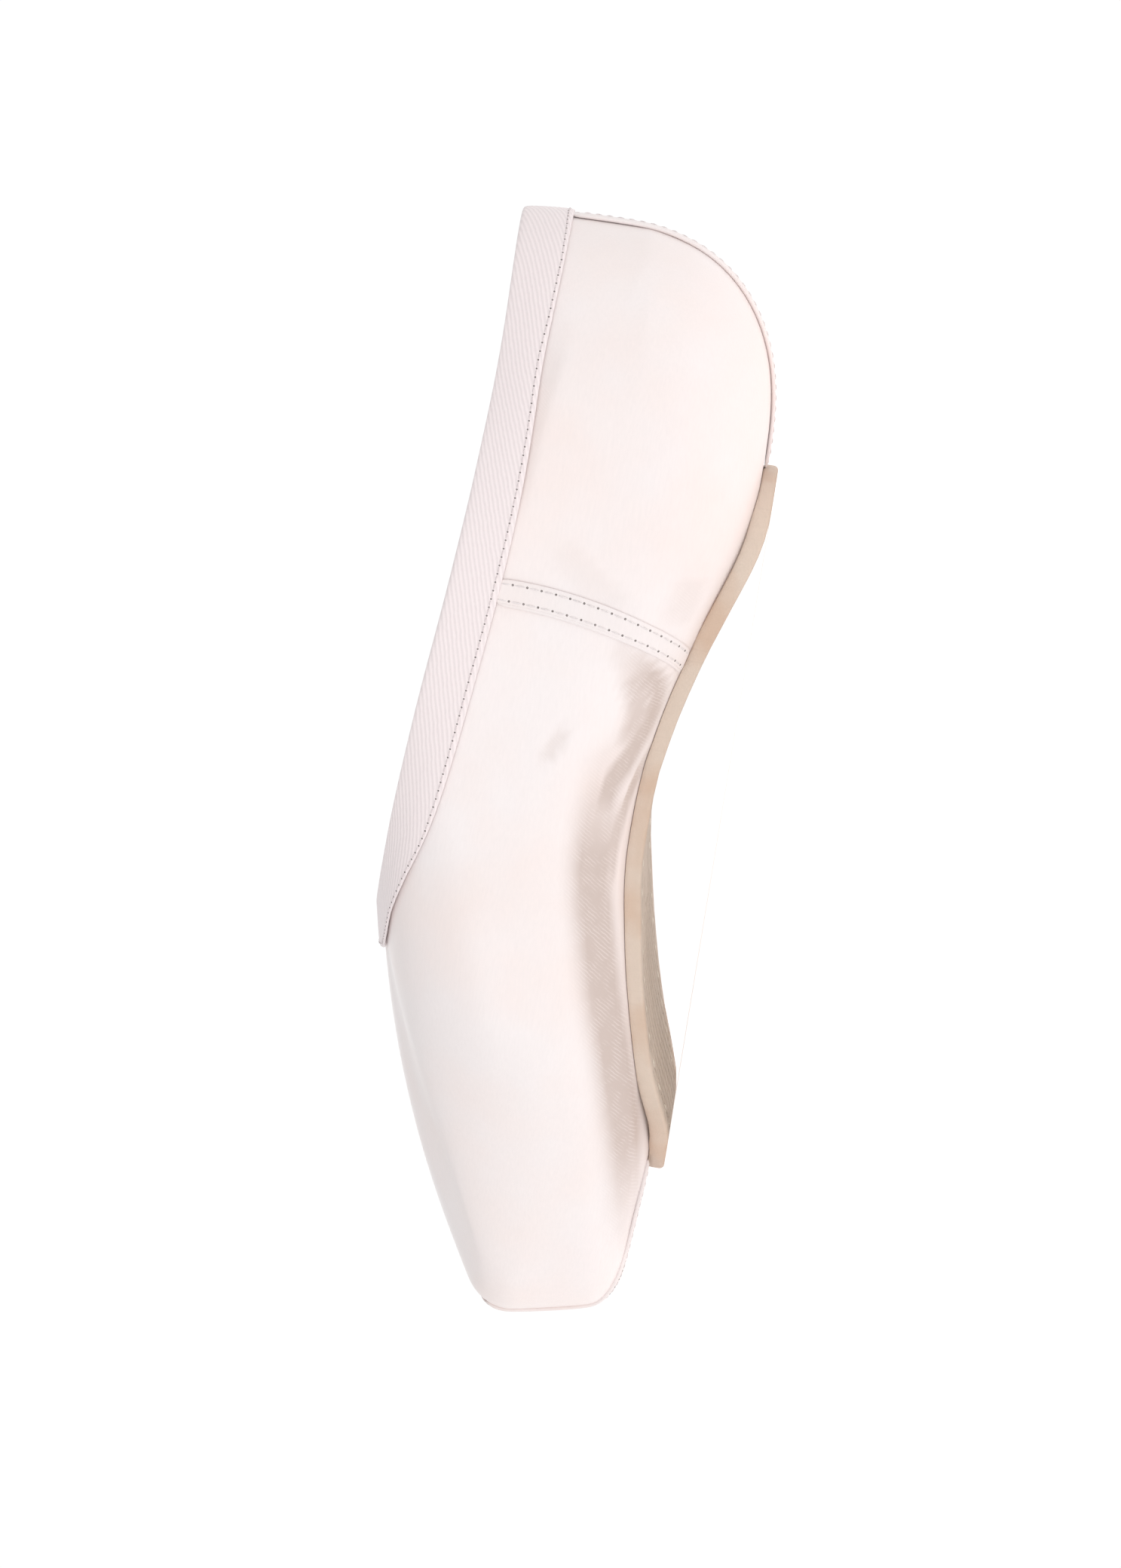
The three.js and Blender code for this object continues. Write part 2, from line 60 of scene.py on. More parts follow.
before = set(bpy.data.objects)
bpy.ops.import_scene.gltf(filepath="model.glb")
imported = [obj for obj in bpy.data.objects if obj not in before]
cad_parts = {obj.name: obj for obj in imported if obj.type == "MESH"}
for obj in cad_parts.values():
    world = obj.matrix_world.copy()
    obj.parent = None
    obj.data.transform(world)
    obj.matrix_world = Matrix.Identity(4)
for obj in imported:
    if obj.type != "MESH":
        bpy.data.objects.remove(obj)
CAD_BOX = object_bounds()
SHOE_LENGTH = CAD_BOX[1].x - CAD_BOX[0].x
SHOE_HEIGHT = CAD_BOX[1].z - CAD_BOX[0].z
SOLE_LOW, SOLE_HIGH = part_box("outsole")

MM = 0.001
WELD = 0.01 * MM
SIDES = (1, -1)


def colour_setting(name, description, default):
    return FloatVectorProperty(name=name, description=description, subtype="COLOR", size=3,
                               default=default, min=0, max=1)


def length_setting(name, description, default, low, high=100000):
    """A length, given in millimetres."""
    return FloatProperty(name=name, description=description, subtype="DISTANCE", unit="LENGTH",
                         default=default * MM, min=low * MM, max=high * MM)


def angle_setting(name, description, degrees):
    return FloatProperty(name=name, description=description, subtype="ANGLE", default=math.radians(degrees))


class ShoeColours(bpy.types.PropertyGroup):
    """Colours of the shoe's materials."""

    satin: colour_setting("Satin", "Face of the satin", (0.905, 0.845, 0.84))
    # Painted shade: this darker satin is painted along the folds for the shade and dark reflection of their
    # gloss.
    satin_painted_shade: colour_setting("Shaded satin", "Satin in the bottom of its folds", (0.6, 0.505, 0.465))
    satin_warm: colour_setting("Warm satin", "Satin where it is thin or folded over", (0.91, 0.8, 0.77))
    twill: colour_setting("Twill", "Tape round the opening", (0.93, 0.835, 0.84))
    leather: colour_setting("Leather", "Skin side of the sole", (0.6, 0.5, 0.42))
    leather_warm: colour_setting("Burnished leather", "Brown patches along the edge", (0.6, 0.41, 0.29))
    leather_dark: colour_setting("Pressed leather", "Lines pressed into the sole", (0.25, 0.19, 0.145))
    thread: colour_setting("Thread", "Waxed thread of the sole", (0.88, 0.82, 0.71))
    lining: colour_setting("Lining", "Cotton inside the shoe", (0.93, 0.87, 0.84))
    board: colour_setting("Insole", "Covered board under the foot", (0.85, 0.76, 0.68))


class ShoeSewing(bpy.types.PropertyGroup):
    """Sizes of seams and stitches. Each stitch is measured from hole to hole."""

    sole_inset: length_setting("Sole seam inset", "From the sole's edge to its seam", 6.8, 3, 9)
    sole_pitch: length_setting("Sole stitch", "Along the sole's seam", 6.4, 3, 10)
    channel_depth: length_setting("Channel depth", "Depth of the sole seam's channel", 0.75, 0.2, 1.2)
    thread_radius: length_setting("Thread radius", "Radius of the sole's thread", 0.44, 0.1, 1)
    lattice_pitch: length_setting("Lattice pitch", "Along the sole, from line to line", 7.1, 4, 12)
    lattice_depth: length_setting("Lattice depth", "Depth of the pressed lines", 0.32, 0.1, 0.6)
    side_pitch: length_setting("Side stitch", "Along the side tapes", 3.2, 1, 5)
    binding_pitch: length_setting("Binding stitch", "Along the binding", 1.9, 1, 5)
    heel_pitch: length_setting("Heel stitch", "Along the heel's seam", 2.4, 1, 5)
    toe_pitch: length_setting("Toe stitch", "Along the toe panel's sides", 2.3, 1, 5)
    piping_radius: length_setting("Piping radius", "Radius of the folded edges", 0.5, 0.2, 1)
    cloth_levels: IntProperty(name="Cloth levels", description="Subdivision levels of the satin",
                              default=2, min=0, max=3)


class ShoeStage(bpy.types.PropertyGroup):
    """The camera and the studio."""

    azimuth: angle_setting("Azimuth", "The camera's turn round the shoe", 195.5)
    camera_height: length_setting("Camera height", "Of the camera over the floor", 7, 1)
    camera_distance: length_setting("Camera distance", "From the shoe's middle", 2394, 300)
    lens: FloatProperty(name="Lens", description="Focal length in millimetres", default=250, min=20)
    roll: angle_setting("Toe tilt", "How far the toe swings to the left of straight down", 9.1)
    toward_toe: length_setting("Toward the toe", "From the shoe's middle to the picture's", 5, -200, 200)
    floor_size: length_setting("Floor", "Side of the floor", 80000, 1000)


def settings(context):
    return context.scene.shoe_colours, context.scene.shoe_sewing


# Selecting, copying and finishing pieces

# Two triangles become one four-sided face up to these angles between them and of its corners.
PAIR_BEND = math.radians(50)
PAIR_SHAPE = math.radians(70)


def select_nothing():
    bpy.ops.object.select_all(action="DESELECT")


def select_only(piece):
    select_nothing()
    piece.select_set(True)
    bpy.context.view_layer.objects.active = piece


def edit_all(piece, *steps):
    """Runs mesh operators, each given with its settings, on all of a piece in edit mode."""
    select_only(piece)
    bpy.ops.object.mode_set(mode="EDIT")
    for operator, settings in steps:
        bpy.ops.mesh.select_all(action="SELECT")
        operator(**settings)
    bpy.ops.object.mode_set(mode="OBJECT")


FACE_OUT = (bpy.ops.mesh.normals_make_consistent, {"inside": False})


def merged_copy(node, name):
    """A copy of a CAD node with its triangles welded and paired into four-sided faces."""
    piece = bpy.data.objects.new(name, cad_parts[node].data.copy())
    piece.data.name = name
    piece.data.materials.clear()
    bpy.context.scene.collection.objects.link(piece)
    select_only(piece)
    if piece.data.has_custom_normals:
        bpy.ops.mesh.customdata_custom_splitnormals_clear()
    pairing = {"face_threshold": PAIR_BEND, "shape_threshold": PAIR_SHAPE}
    edit_all(piece, (bpy.ops.mesh.remove_doubles, {"threshold": WELD}),
             (bpy.ops.mesh.tris_convert_to_quads, pairing))
    return piece


def subdivide(piece, levels):
    modifier = piece.modifiers.new("Subdivision", "SUBSURF")
    modifier.levels = modifier.render_levels = levels
    select_only(piece)
    bpy.ops.object.modifier_apply(modifier=modifier.name)


def finish(piece, material, slot, replaced=(), smooth=None):
    """Gives a piece its material and smooth shading, and ties it to the shoe."""
    if material is not None:
        piece.data.materials.clear()
        piece.data.materials.append(material)
    select_only(piece)
    if smooth is None:
        bpy.ops.object.shade_smooth()
    else:
        bpy.ops.object.shade_smooth_by_angle(angle=smooth)
    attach(piece, "root")
    if replaced:
        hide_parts(*replaced)


def detail(name, parts, material, slot):
    """Makes one piece of many small closed parts, each given by its points and faces."""
    points, faces = [], []
    for new_points, new_faces in parts:
        start = len(points)
        points += [tuple(p) for p in new_points]
        faces += [tuple(start + i for i in face) for face in new_faces]
    mesh = bpy.data.meshes.new(name)
    mesh.from_pydata(points, [], faces)
    mesh.validate()
    piece = bpy.data.objects.new(name, mesh)
    bpy.context.scene.collection.objects.link(piece)
    edit_all(piece, FACE_OUT)
    finish(piece, material, slot)


def add_values(piece, name, values):
    """Stores one number for each of a piece's vertices."""
    layer = piece.data.attributes.new(name, "FLOAT", "POINT")
    layer.data.foreach_set("value", values)


def surface_of(piece):
    """The faces of a piece, to find points on."""
    return BVHTree.FromPolygons([v.co.copy() for v in piece.data.vertices],
                                [list(p.vertices) for p in piece.data.polygons])


def tree_of(points):
    tree = KDTree(len(points))
    for i, p in enumerate(points):
        tree.insert(p, i)
    tree.balance()
    return tree


# Lines along the pieces

# Edges that turn by more than this bound the faces of a layer.
SQUARE_CORNER = math.radians(55)
# Shorter square edges cross the layer's thickness.
ACROSS_LAYER = 1.1 * MM
SPAN_STEPS = 12
# The line through the middle of the shoe's hollow, in shares of the shoe's length from each end and of its
# height.
HOLLOW_HEEL, HOLLOW_TOE, HOLLOW_LEVEL = 0.12, 0.1, 0.45
# Rays onto a layer start this many millimetres outside it.
RAY_START = 8


def sharp_loops(piece, shortest=0.0):
    """The closed lines along a piece's square edges, each as a list of points."""
    bm = bmesh.new()
    bm.from_mesh(piece.data)
    beside = {}
    for e in bm.edges:
        if len(e.link_faces) == 2 and e.calc_face_angle() > SQUARE_CORNER and e.calc_length() > shortest:
            a, b = e.verts
            beside.setdefault(a.index, []).append(b.index)
            beside.setdefault(b.index, []).append(a.index)
    places = [v.co.copy() for v in bm.verts]
    bm.free()
    loops, used = [], set()
    for start in sorted(beside):
        if start in used:
            continue
        loop, step = [], [start]
        while step:
            used.add(step[0])
            loop.append(step[0])
            step = [i for i in beside[step[0]] if i not in used]
        if len(loop) > 3:
            loops.append([places[i] for i in loop])
    return loops


def mean_of(points):
    return sum(points, Vector()) / len(points)


def resample(points, count, closed):
    """Evenly spaced points on a smooth curve through the given ones."""
    given = np.array([tuple(p) for p in points])
    last = len(given) if closed else len(given) - 1

    def at(i):
        return given[i % len(given)] if closed else given[min(max(i, 0), len(given) - 1)]

    fine = []
    for i in range(last):
        a, b, c, d = at(i - 1), at(i), at(i + 1), at(i + 2)
        for t in np.linspace(0, 1, SPAN_STEPS, endpoint=False):
            fine.append(0.5 * (2 * b + (c - a) * t + (2 * a - 5 * b + 4 * c - d) * t ** 2
                               + (3 * b - a - 3 * c + d) * t ** 3))
    fine.append(given[0] if closed else given[-1])
    fine = np.array(fine)
    along = np.concatenate([[0], np.cumsum(np.linalg.norm(np.diff(fine, axis=0), axis=1))])
    places = np.linspace(0, along[-1], count, endpoint=not closed)
    return [Vector(float(np.interp(s, along, fine[:, k])) for k in range(3)) for s in places]


def length_of(points, closed=False):
    pairs = zip(points, points[1:] + points[:1] if closed else points[1:])
    return sum((b - a).length for a, b in pairs)


def strip_edges(piece):
    """The four edges of a strip's outer face."""
    middle = Vector((0, 0, SHOE_HEIGHT / 2))
    loop = max(sharp_loops(piece, shortest=ACROSS_LAYER),
               key=lambda points: sum((p - middle).length for p in points) / len(points))
    count = len(loop)
    turns = []
    for i, p in enumerate(loop):
        before, after = p - loop[i - 1], loop[(i + 1) % count] - p
        turns.append((before.angle(after), i))
    corners = sorted(i for _, i in sorted(turns)[-4:])
    edges = []
    for k, first in enumerate(corners):
        end = corners[(k + 1) % 4]
        end += count if end <= first else 0
        edges.append([loop[i % count] for i in range(first, end + 1)])
    return edges


def hollow_by(p):
    """The point of the line through the middle of the shoe's hollow that is beside p."""
    x = min(max(p.x, CAD_BOX[0].x + HOLLOW_HEEL * SHOE_LENGTH), CAD_BOX[1].x - HOLLOW_TOE * SHOE_LENGTH)
    return Vector((x, 0, HOLLOW_LEVEL * SHOE_HEIGHT))


def moved_in(path, surface, inset, toward):
    """A path along a layer's edge, moved across its outer face toward given points."""
    out = []
    for i, p in enumerate(path):
        tangent = path[min(i + 1, len(path) - 1)] - path[max(i - 1, 0)]
        outside = (p - hollow_by(p)).normalized()
        across = outside.cross(tangent).normalized()
        if across.dot(toward[i] - p) < 0:
            across.negate()
        moved = p + across * inset
        place, _, _, _ = surface.ray_cast(moved + outside * RAY_START * MM, -outside)
        out.append(place or surface.find_nearest(moved)[0])
    return out


# Threads, holes and piping

# The sewn layers, in millimetres: the row's inset from the layer's edge, the radii of its thread and of its
# needle holes, and how deep the piping lies. share is how much of the way between two holes a stitch takes.
SEAMS = {
    "binding": {"inset": 0.8, "share": 0.72, "thread": 0.17, "hole": 0.2},
    "side": {"inset": 1.15, "share": 0.74, "thread": 0.17, "hole": 0.26, "piping": 0.25},
    "heel": {"inset": 0.9, "share": 0.7, "thread": 0.14, "piping": 0.2},
    "toe": {"inset": 1.7, "share": 0.7, "thread": 0.16, "hole": 0.24, "piping": 0.15},
}
# A stitch, in shares of its radius: how far it rises, how deep its ends dive and how thick they are.
STITCH_RISE, STITCH_DIVE, STITCH_TIP, STITCH_SWELL = 1.5, 0.9, 0.55, 0.45
STITCH_RINGS, STITCH_SIDES = 7, 8
# A hole's dish, in shares of its radius: its rings, its bottom and the depth of its underside.
HOLE_RINGS = ({"radius": 1.0, "height": 0.12}, {"radius": 0.72, "height": 0.3},
              {"radius": 0.3, "height": 0.05})
HOLE_BOTTOM, HOLE_UNDER, HOLE_SIDES = 0.1, 0.8, 10
PIPING_STEP, PIPING_TIP, PIPING_SIDES = 1.2 * MM, 0.35, 12


def tube(points, normals, radii, sides):
    """Points and faces of a round tube along a line."""
    last = len(points) - 1
    rings, faces = [], []
    for i, p in enumerate(points):
        tangent = (points[min(i + 1, last)] - points[max(i - 1, 0)]).normalized()
        side = tangent.cross(normals[i]).normalized()
        up = side.cross(tangent)
        for k in range(sides):
            a = 2 * math.pi * k / sides
            rings.append(p + (side * math.cos(a) + up * math.sin(a)) * radii[i])
    for i in range(last):
        for k in range(sides):
            a, b = i * sides + k, i * sides + (k + 1) % sides
            faces.append((a, b, b + sides, a + sides))
    faces.append(tuple(reversed(range(sides))))
    faces.append(tuple(last * sides + k for k in range(sides)))
    return rings, faces


def stitch(a, b, normal, radius, sink=0.0, wave=0.0):
    """One stitch from hole to hole, thick in the middle and diving at its ends."""
    side = (b - a).cross(normal).normalized()
    points, radii = [], []
    for k in range(STITCH_RINGS):
        t = k / (STITCH_RINGS - 1)
        arch = math.sin(math.pi * t)
        points.append(a.lerp(b, t) + normal * (radius * (STITCH_RISE * arch ** 0.6 - STITCH_DIVE) - sink)
                      + side * wave * math.sin(2 * math.pi * t))
        radii.append(radius * (STITCH_TIP + STITCH_SWELL * arch))
    return tube(points, [normal] * STITCH_RINGS, radii, STITCH_SIDES)


def sewn(seam, path, toward, surface, pitch, sink=0.0, closed=False):
    """The stitches of a row along a layer's edge, and the marks where the needle went in."""
    row = moved_in(path, surface, seam["inset"] * MM, toward)
    count = max(round(length_of(row, closed) / pitch), 1)
    marks = resample(row, count if closed else count + 1, closed)
    gap = (1 - seam["share"]) / 2
    stitches = []
    for a, b in zip(marks, marks[1:] + marks[:1] if closed else marks[1:]):
        start, end = a.lerp(b, gap), a.lerp(b, 1 - gap)
        _, normal, _, _ = surface.find_nearest((start + end) / 2)
        stitches.append(stitch(start, end, normal, seam["thread"] * MM, sink))
    return stitches, marks


def hole(place, normal, radius, sink=0.0, along=None, stretch=1.0):
    """A small dished hole, longer one way if it is given a direction."""
    sides = HOLE_SIDES
    side = (along - normal * along.dot(normal) if along else normal.orthogonal()).normalized()
    up = normal.cross(side)
    side = side * stretch
    points = []
    for ring in HOLE_RINGS:
        for k in range(sides):
            a = 2 * math.pi * k / sides
            points.append(place + (side * math.cos(a) + up * math.sin(a)) * radius * ring["radius"]
                          + normal * (ring["height"] * radius - sink))
    points += [place + normal * (-HOLE_BOTTOM * radius - sink), place - normal * (HOLE_UNDER * radius + sink)]
    faces = []
    for first in (0, sides):
        for k in range(sides):
            a, b = first + k, first + (k + 1) % sides
            faces.append((a, b, b + sides, a + sides))
    for k in range(sides):
        after = (k + 1) % sides
        faces += [(2 * sides + k, 2 * sides + after, 3 * sides), (after, k, 3 * sides + 1)]
    return points, faces


def needle_holes(seam, marks, surface):
    found = [surface.find_nearest(mark) for mark in marks]
    return [hole(place, normal, seam["hole"] * MM) for place, normal, _, _ in found]


def piping(seam, path, surface, radius):
    """The folded edge along a layer, as a tube that thins toward its ends."""
    sink = seam["piping"] * MM
    places, normals = [], []
    for p in resample(path, max(int(length_of(path) / PIPING_STEP), 4), False):
        place, _, _, _ = surface.find_nearest(p)
        outside = (place - hollow_by(place)).normalized()
        places.append(place - outside * sink)
        normals.append(outside)
    last = len(places) - 1
    radii = [radius * min(1.0, PIPING_TIP * (1 + min(i, last - i))) for i in range(len(places))]
    return tube(places, normals, radii, PIPING_SIDES)


# Materials

# The scale of a wave texture that has one stripe in each metre.
ONE_BAND = 0.314


class Material:
    """A node material under construction."""

    def __init__(self, name):
        self.material = bpy.data.materials.new(name)
        self.material.use_nodes = True
        self.nodes = self.material.node_tree.nodes
        self.links = self.material.node_tree.links
        self.shader = next(n for n in self.nodes if n.type == "BSDF_PRINCIPLED")

    def add(self, kind, inputs=None, **settings):
        node = self.nodes.new("ShaderNode" + kind)
        for key, value in settings.items():
            setattr(node, key, value)
        for key, value in (inputs or {}).items():
            self.put(value, node.inputs[key])
        return node

    def put(self, value, socket):
        """Links a node's output to a socket, or sets the socket to a number or a colour."""
        if isinstance(value, bpy.types.NodeSocket):
            self.links.new(value, socket)
        else:
            socket.default_value = (*value, 1) if socket.type == "RGBA" and len(value) == 3 else value

    def set(self, **values):
        for key, value in values.items():
            self.put(value, self.shader.inputs[key.replace("_", " ").title().replace("Ior", "IOR")])

    def place(self, scale=(1, 1, 1), turn=(0, 0, 0), source="Object"):
        coordinates = self.add("TexCoord")
        return self.add("Mapping", {"Vector": coordinates.outputs[source], "Scale": scale,
                                    "Rotation": turn}).outputs["Vector"]

    def noise(self, vector, scale, detail=3.0, roughness=0.5):
        return self.add("TexNoise", {"Vector": vector, "Scale": scale, "Detail": detail,
                                     "Roughness": roughness}).outputs["Fac"]

    def bands(self, vector, width, distortion, detail, detail_scale):
        """Soft stripes, each as wide as is given in millimetres."""
        inputs = {"Vector": vector, "Scale": ONE_BAND / width / MM, "Distortion": distortion,
                  "Detail": detail, "Detail Scale": detail_scale}
        return self.add("TexWave", inputs, wave_type="BANDS", bands_direction="X").outputs["Fac"]

    def attribute(self, name):
        return self.add("Attribute", attribute_name=name).outputs["Fac"]

    def spread(self, value, low, high, start=0.0, end=1.0):
        return self.add("MapRange", {"Value": value, "From Min": low, "From Max": high, "To Min": start,
                                     "To Max": end}).outputs["Result"]

    def math(self, operation, a, b):
        return self.add("Math", {0: a, 1: b}, operation=operation).outputs["Value"]

    def mix(self, share, first, second):
        node = self.add("Mix", {"Factor": share}, data_type="RGBA")
        self.put(first, node.inputs[6])
        self.put(second, node.inputs[7])
        return node.outputs[2]

    def bump(self, height, strength, distance, normal=None):
        inputs = {"Height": height, "Strength": strength, "Distance": distance}
        if normal is not None:
            inputs["Normal"] = normal
        return self.add("Bump", inputs).outputs["Normal"]


def scaled(colour, share):
    return tuple(min(c * share, 1) for c in colour)


# The last share scales all its colours: darker and lighter copies of the satin as painted shade and
# highlight.
def satin_material(name, colours, tint=1.0):
    m = Material(name)
    threads = m.noise(m.place((330, 2300, 2300)), 1, 2, 0.6)
    cross = m.noise(m.place((2100, 600, 600)), 1, 2, 0.5)
    clouds = m.noise(m.place(), 26, 3, 0.55)
    blush = m.spread(clouds, 0.4, 0.72)
    colour = m.mix(blush, scaled(colours.satin, tint), scaled(colours.satin_warm, tint))
    colour = m.mix(m.spread(threads, 0.3, 0.8, 0, 0.14), colour, scaled(colours.satin, 0.78 * tint))
    # Painted shade and dark reflection along the folds, lightened in fine diagonal lines of painted glints.
    ribs = m.bands(m.place(turn=(0, math.radians(40), 0)), 0.62, 2.2, 2, 1.2)
    patches = m.spread(m.noise(m.place(), 260, 2, 0.6), 0.4, 0.6)
    glints = m.math("MULTIPLY", m.spread(ribs, 0.55, 0.95), patches)
    fold_and_painted_shade = m.math("MULTIPLY", m.attribute("fold_and_painted_shade"), m.spread(glints, 0, 1, 1, 0.68))
    colour = m.mix(fold_and_painted_shade, colour, scaled(colours.satin_painted_shade, tint))
    weave = m.bump(m.math("ADD", threads, m.math("MULTIPLY", cross, 0.5)), 0.22, 0.12 * MM)
    soft = m.bump(m.noise(m.place(), 55, 2, 0.4), 0.25, 0.5 * MM, weave)
    m.set(base_color=colour, roughness=m.spread(clouds, 0.3, 0.7, 0.33, 0.42), normal=soft,
          sheen_weight=0.18, sheen_roughness=0.35, sheen_tint=(1, 0.93, 0.9), specular_ior_level=0.55)
    return m.material


def twill_material(name, colours):
    m = Material(name)
    along = m.place(turn=(0, 0, math.radians(-70)), source="UV")
    ribs = m.bands(along, 0.95, 0.6, 1.5, 0.8)
    yarn = m.noise(m.place(), 1700, 3, 0.6)
    height = m.math("ADD", ribs, m.math("MULTIPLY", yarn, 0.5))
    colour = m.mix(m.spread(ribs, 0, 1, 0.5, 0), colours.twill, scaled(colours.twill, 0.8))
    colour = m.mix(m.spread(yarn, 0.35, 0.75, 0, 0.3), colour, scaled(colours.satin, 1.02))
    m.set(base_color=colour, roughness=0.78, normal=m.bump(height, 0.55, 0.16 * MM),
          sheen_weight=0.25, sheen_roughness=0.5)
    return m.material


def leather_material(name, colours):
    m = Material(name)
    grain = m.add("TexVoronoi", {"Vector": m.place(), "Scale": 1500, "Randomness": 1.0},
                  feature="DISTANCE_TO_EDGE").outputs["Distance"]
    pores = m.noise(m.place(), 2600, 3, 0.6)
    clouds = m.noise(m.place((1, 1.4, 1)), 45, 4, 0.6)
    specks = m.noise(m.place(), 700, 3, 0.65)
    colour = m.mix(m.spread(clouds, 0.35, 0.7), colours.leather, scaled(colours.leather, 0.84))
    colour = m.mix(m.spread(specks, 0.5, 0.72, 0, 0.32), colour, scaled(colours.leather, 0.7))
    patches = m.spread(m.noise(m.place(), 42, 3, 0.5), 0.5, 0.64, 0, 0.6)
    stain = m.math("MULTIPLY", m.spread(m.attribute("edge"), 0.2, 0.7), patches)
    # Painted highlight: the rounded rim is painted lighter than the face of the sole.
    colour = m.mix(m.spread(m.attribute("edge"), 0.68, 0.95, 0, 0.75), colour, scaled(colours.leather, 1.2))
    colour = m.mix(stain, colour, colours.leather_warm)
    colour = m.mix(m.spread(m.attribute("pressed"), 0, 1, 0, 0.92), colour, colours.leather_dark)
    height = m.math("ADD", m.math("MULTIPLY", m.spread(grain, 0, 0.25), 0.5), pores)
    m.set(base_color=colour, roughness=m.spread(specks, 0.3, 0.8, 0.5, 0.7),
          normal=m.bump(height, 0.4, 0.12 * MM), specular_ior_level=0.4)
    return m.material


def cotton_material(name, colour):
    m = Material(name)
    first = m.noise(m.place((2600, 700, 700)), 1, 2, 0.5)
    second = m.noise(m.place((700, 2600, 2600)), 1, 2, 0.5)
    weave = m.math("MAXIMUM", first, second)
    clouds = m.noise(m.place(), 40, 3, 0.5)
    base = m.mix(m.spread(clouds, 0.35, 0.7), colour, scaled(colour, 0.88))
    base = m.mix(m.spread(weave, 0.4, 0.75, 0.35, 0), base, scaled(colour, 0.75))
    m.set(base_color=base, roughness=0.88, normal=m.bump(weave, 0.5, 0.15 * MM), sheen_weight=0.2,
          sheen_roughness=0.6)
    return m.material


def board_material(name, colour):
    m = Material(name)
    fibres = m.noise(m.place((300, 1500, 1500)), 1, 4, 0.65)
    clouds = m.noise(m.place(), 60, 3, 0.5)
    base = m.mix(m.spread(clouds, 0.3, 0.7), colour, scaled(colour, 0.86))
    base = m.mix(m.spread(fibres, 0.45, 0.7, 0, 0.4), base, scaled(colour, 0.72))
    m.set(base_color=base, roughness=0.82, normal=m.bump(fibres, 0.35, 0.12 * MM))
    return m.material


def thread_material(name, colour, roughness=0.6):
    m = Material(name)
    twist = m.noise(m.place(), 3200, 2, 0.6)
    base = m.mix(m.spread(twist, 0.35, 0.7), colour, scaled(colour, 0.78))
    m.set(base_color=base, roughness=roughness, normal=m.bump(twist, 0.5, 0.1 * MM), sheen_weight=0.15)
    return m.material


# The holes' dark colour is painted shade, standing in for the shade inside them.
def hole_material(name, colour):
    m = Material(name)
    specks = m.noise(m.place(), 2500, 2, 0.5)
    base = m.mix(m.spread(specks, 0.3, 0.7), colour, scaled(colour, 0.6))
    m.set(base_color=base, roughness=0.9, normal=m.bump(specks, 0.3, 0.1 * MM))
    return m.material


def floor_material(name):
    m = Material(name)
    haze = m.noise(m.place(), 3, 2, 0.5)
    colour = m.mix(haze, (0.86, 0.85, 0.845), (0.88, 0.875, 0.87))
    m.set(base_color=colour, roughness=0.9, specular_ior_level=0, emission_color=colour,
          emission_strength=0.54)
    return m.material


MATERIALS = {}


def material(name, make, *args):
    """One material of each name, made when it is first asked for."""
    if name not in MATERIALS:
        MATERIALS[name] = make(name, *args)
    return MATERIALS[name]


def satin_thread(colours):
    return material("satin_thread", thread_material, scaled(colours.satin, 0.95), 0.45)


def hole_shade(colours):
    return material("needle_hole", hole_material, scaled(colours.satin_warm, 0.28))


# Relief of the cloth

# Soft folds of the satin on each side. Each line is given by shares of the shoe's length from the heel and of
# its height. width and depth are in millimetres, and a negative depth is a ridge. shade is how dark the
# painted shade along each line is; on the long first band it is a painted dark reflection of the gloss.
FOLDS = (
    {"line": ((0.468, 0.346), (0.5, 0.352), (0.56, 0.341), (0.606, 0.306), (0.67, 0.245), (0.748, 0.16),
              (0.815, 0.098), (0.88, 0.075)), "width": 10.5, "depth": 0.9, "shade": 1.0},
    {"line": ((0.362, 0.36), (0.38, 0.287), (0.4, 0.243), (0.428, 0.252), (0.457, 0.292), (0.483, 0.333),
              (0.53, 0.352)), "width": 5.6, "depth": 0.7, "shade": 1.0},
    {"line": ((0.464, 0.252), (0.486, 0.275), (0.509, 0.29), (0.54, 0.3), (0.58, 0.294)),
     "width": 3.6, "depth": 0.4, "shade": 0.85},
    {"line": ((0.44, 0.215), (0.47, 0.285), (0.505, 0.312)), "width": 2.6, "depth": -0.4, "shade": 0.0},
    {"line": ((0.372, 0.335), (0.4, 0.296), (0.428, 0.296), (0.455, 0.322)), "width": 6.2, "depth": 0.3,
     "shade": 0.8},
    {"line": ((0.434, 0.497), (0.466, 0.556)), "width": 3.2, "depth": 0.35, "shade": 0.3},
    {"line": ((0.285, 0.19), (0.305, 0.2), (0.335, 0.23)), "width": 7.0, "depth": 0.2, "shade": 0.22},
    {"line": ((0.09, 0.72), (0.17, 0.76), (0.25, 0.78)), "width": 8.0, "depth": 0.25, "shade": 0.22},
    {"line": ((0.27, 0.62), (0.3, 0.5), (0.325, 0.36)), "width": 6.0, "depth": 0.2, "shade": 0.12},
)
FOLD_POINTS = 30
# How wide the folds and their painted shade are on the side toward the sole, as a share of their width.
FOLD_CRISP = 0.6
# Folds start at a share of their depth and grow along them. Their painted shade spreads wider than the
# trough.
FOLD_START, FOLD_GROWTH, SHADE_SPREAD = 0.25, 4, 1.5
# Outside the shoe, at either side.
OUTSIDE = 0.2


def fold_lines(surface, side):
    """The folds of one side, laid on the outer wall."""
    for fold_and_painted_shade in FOLDS:
        points = []
        for share_x, share_z in fold_and_painted_shade["line"]:
            start = Vector((CAD_BOX[0].x + share_x * SHOE_LENGTH, side * OUTSIDE, share_z * SHOE_HEIGHT))
            place, _, _, _ = surface.ray_cast(start, Vector((0, -side, 0)))
            if place is not None:
                points.append(place)
        yield resample(points, FOLD_POINTS, False), fold_and_painted_shade["width"] * MM, fold_and_painted_shade["depth"] * MM, fold_and_painted_shade["shade"]


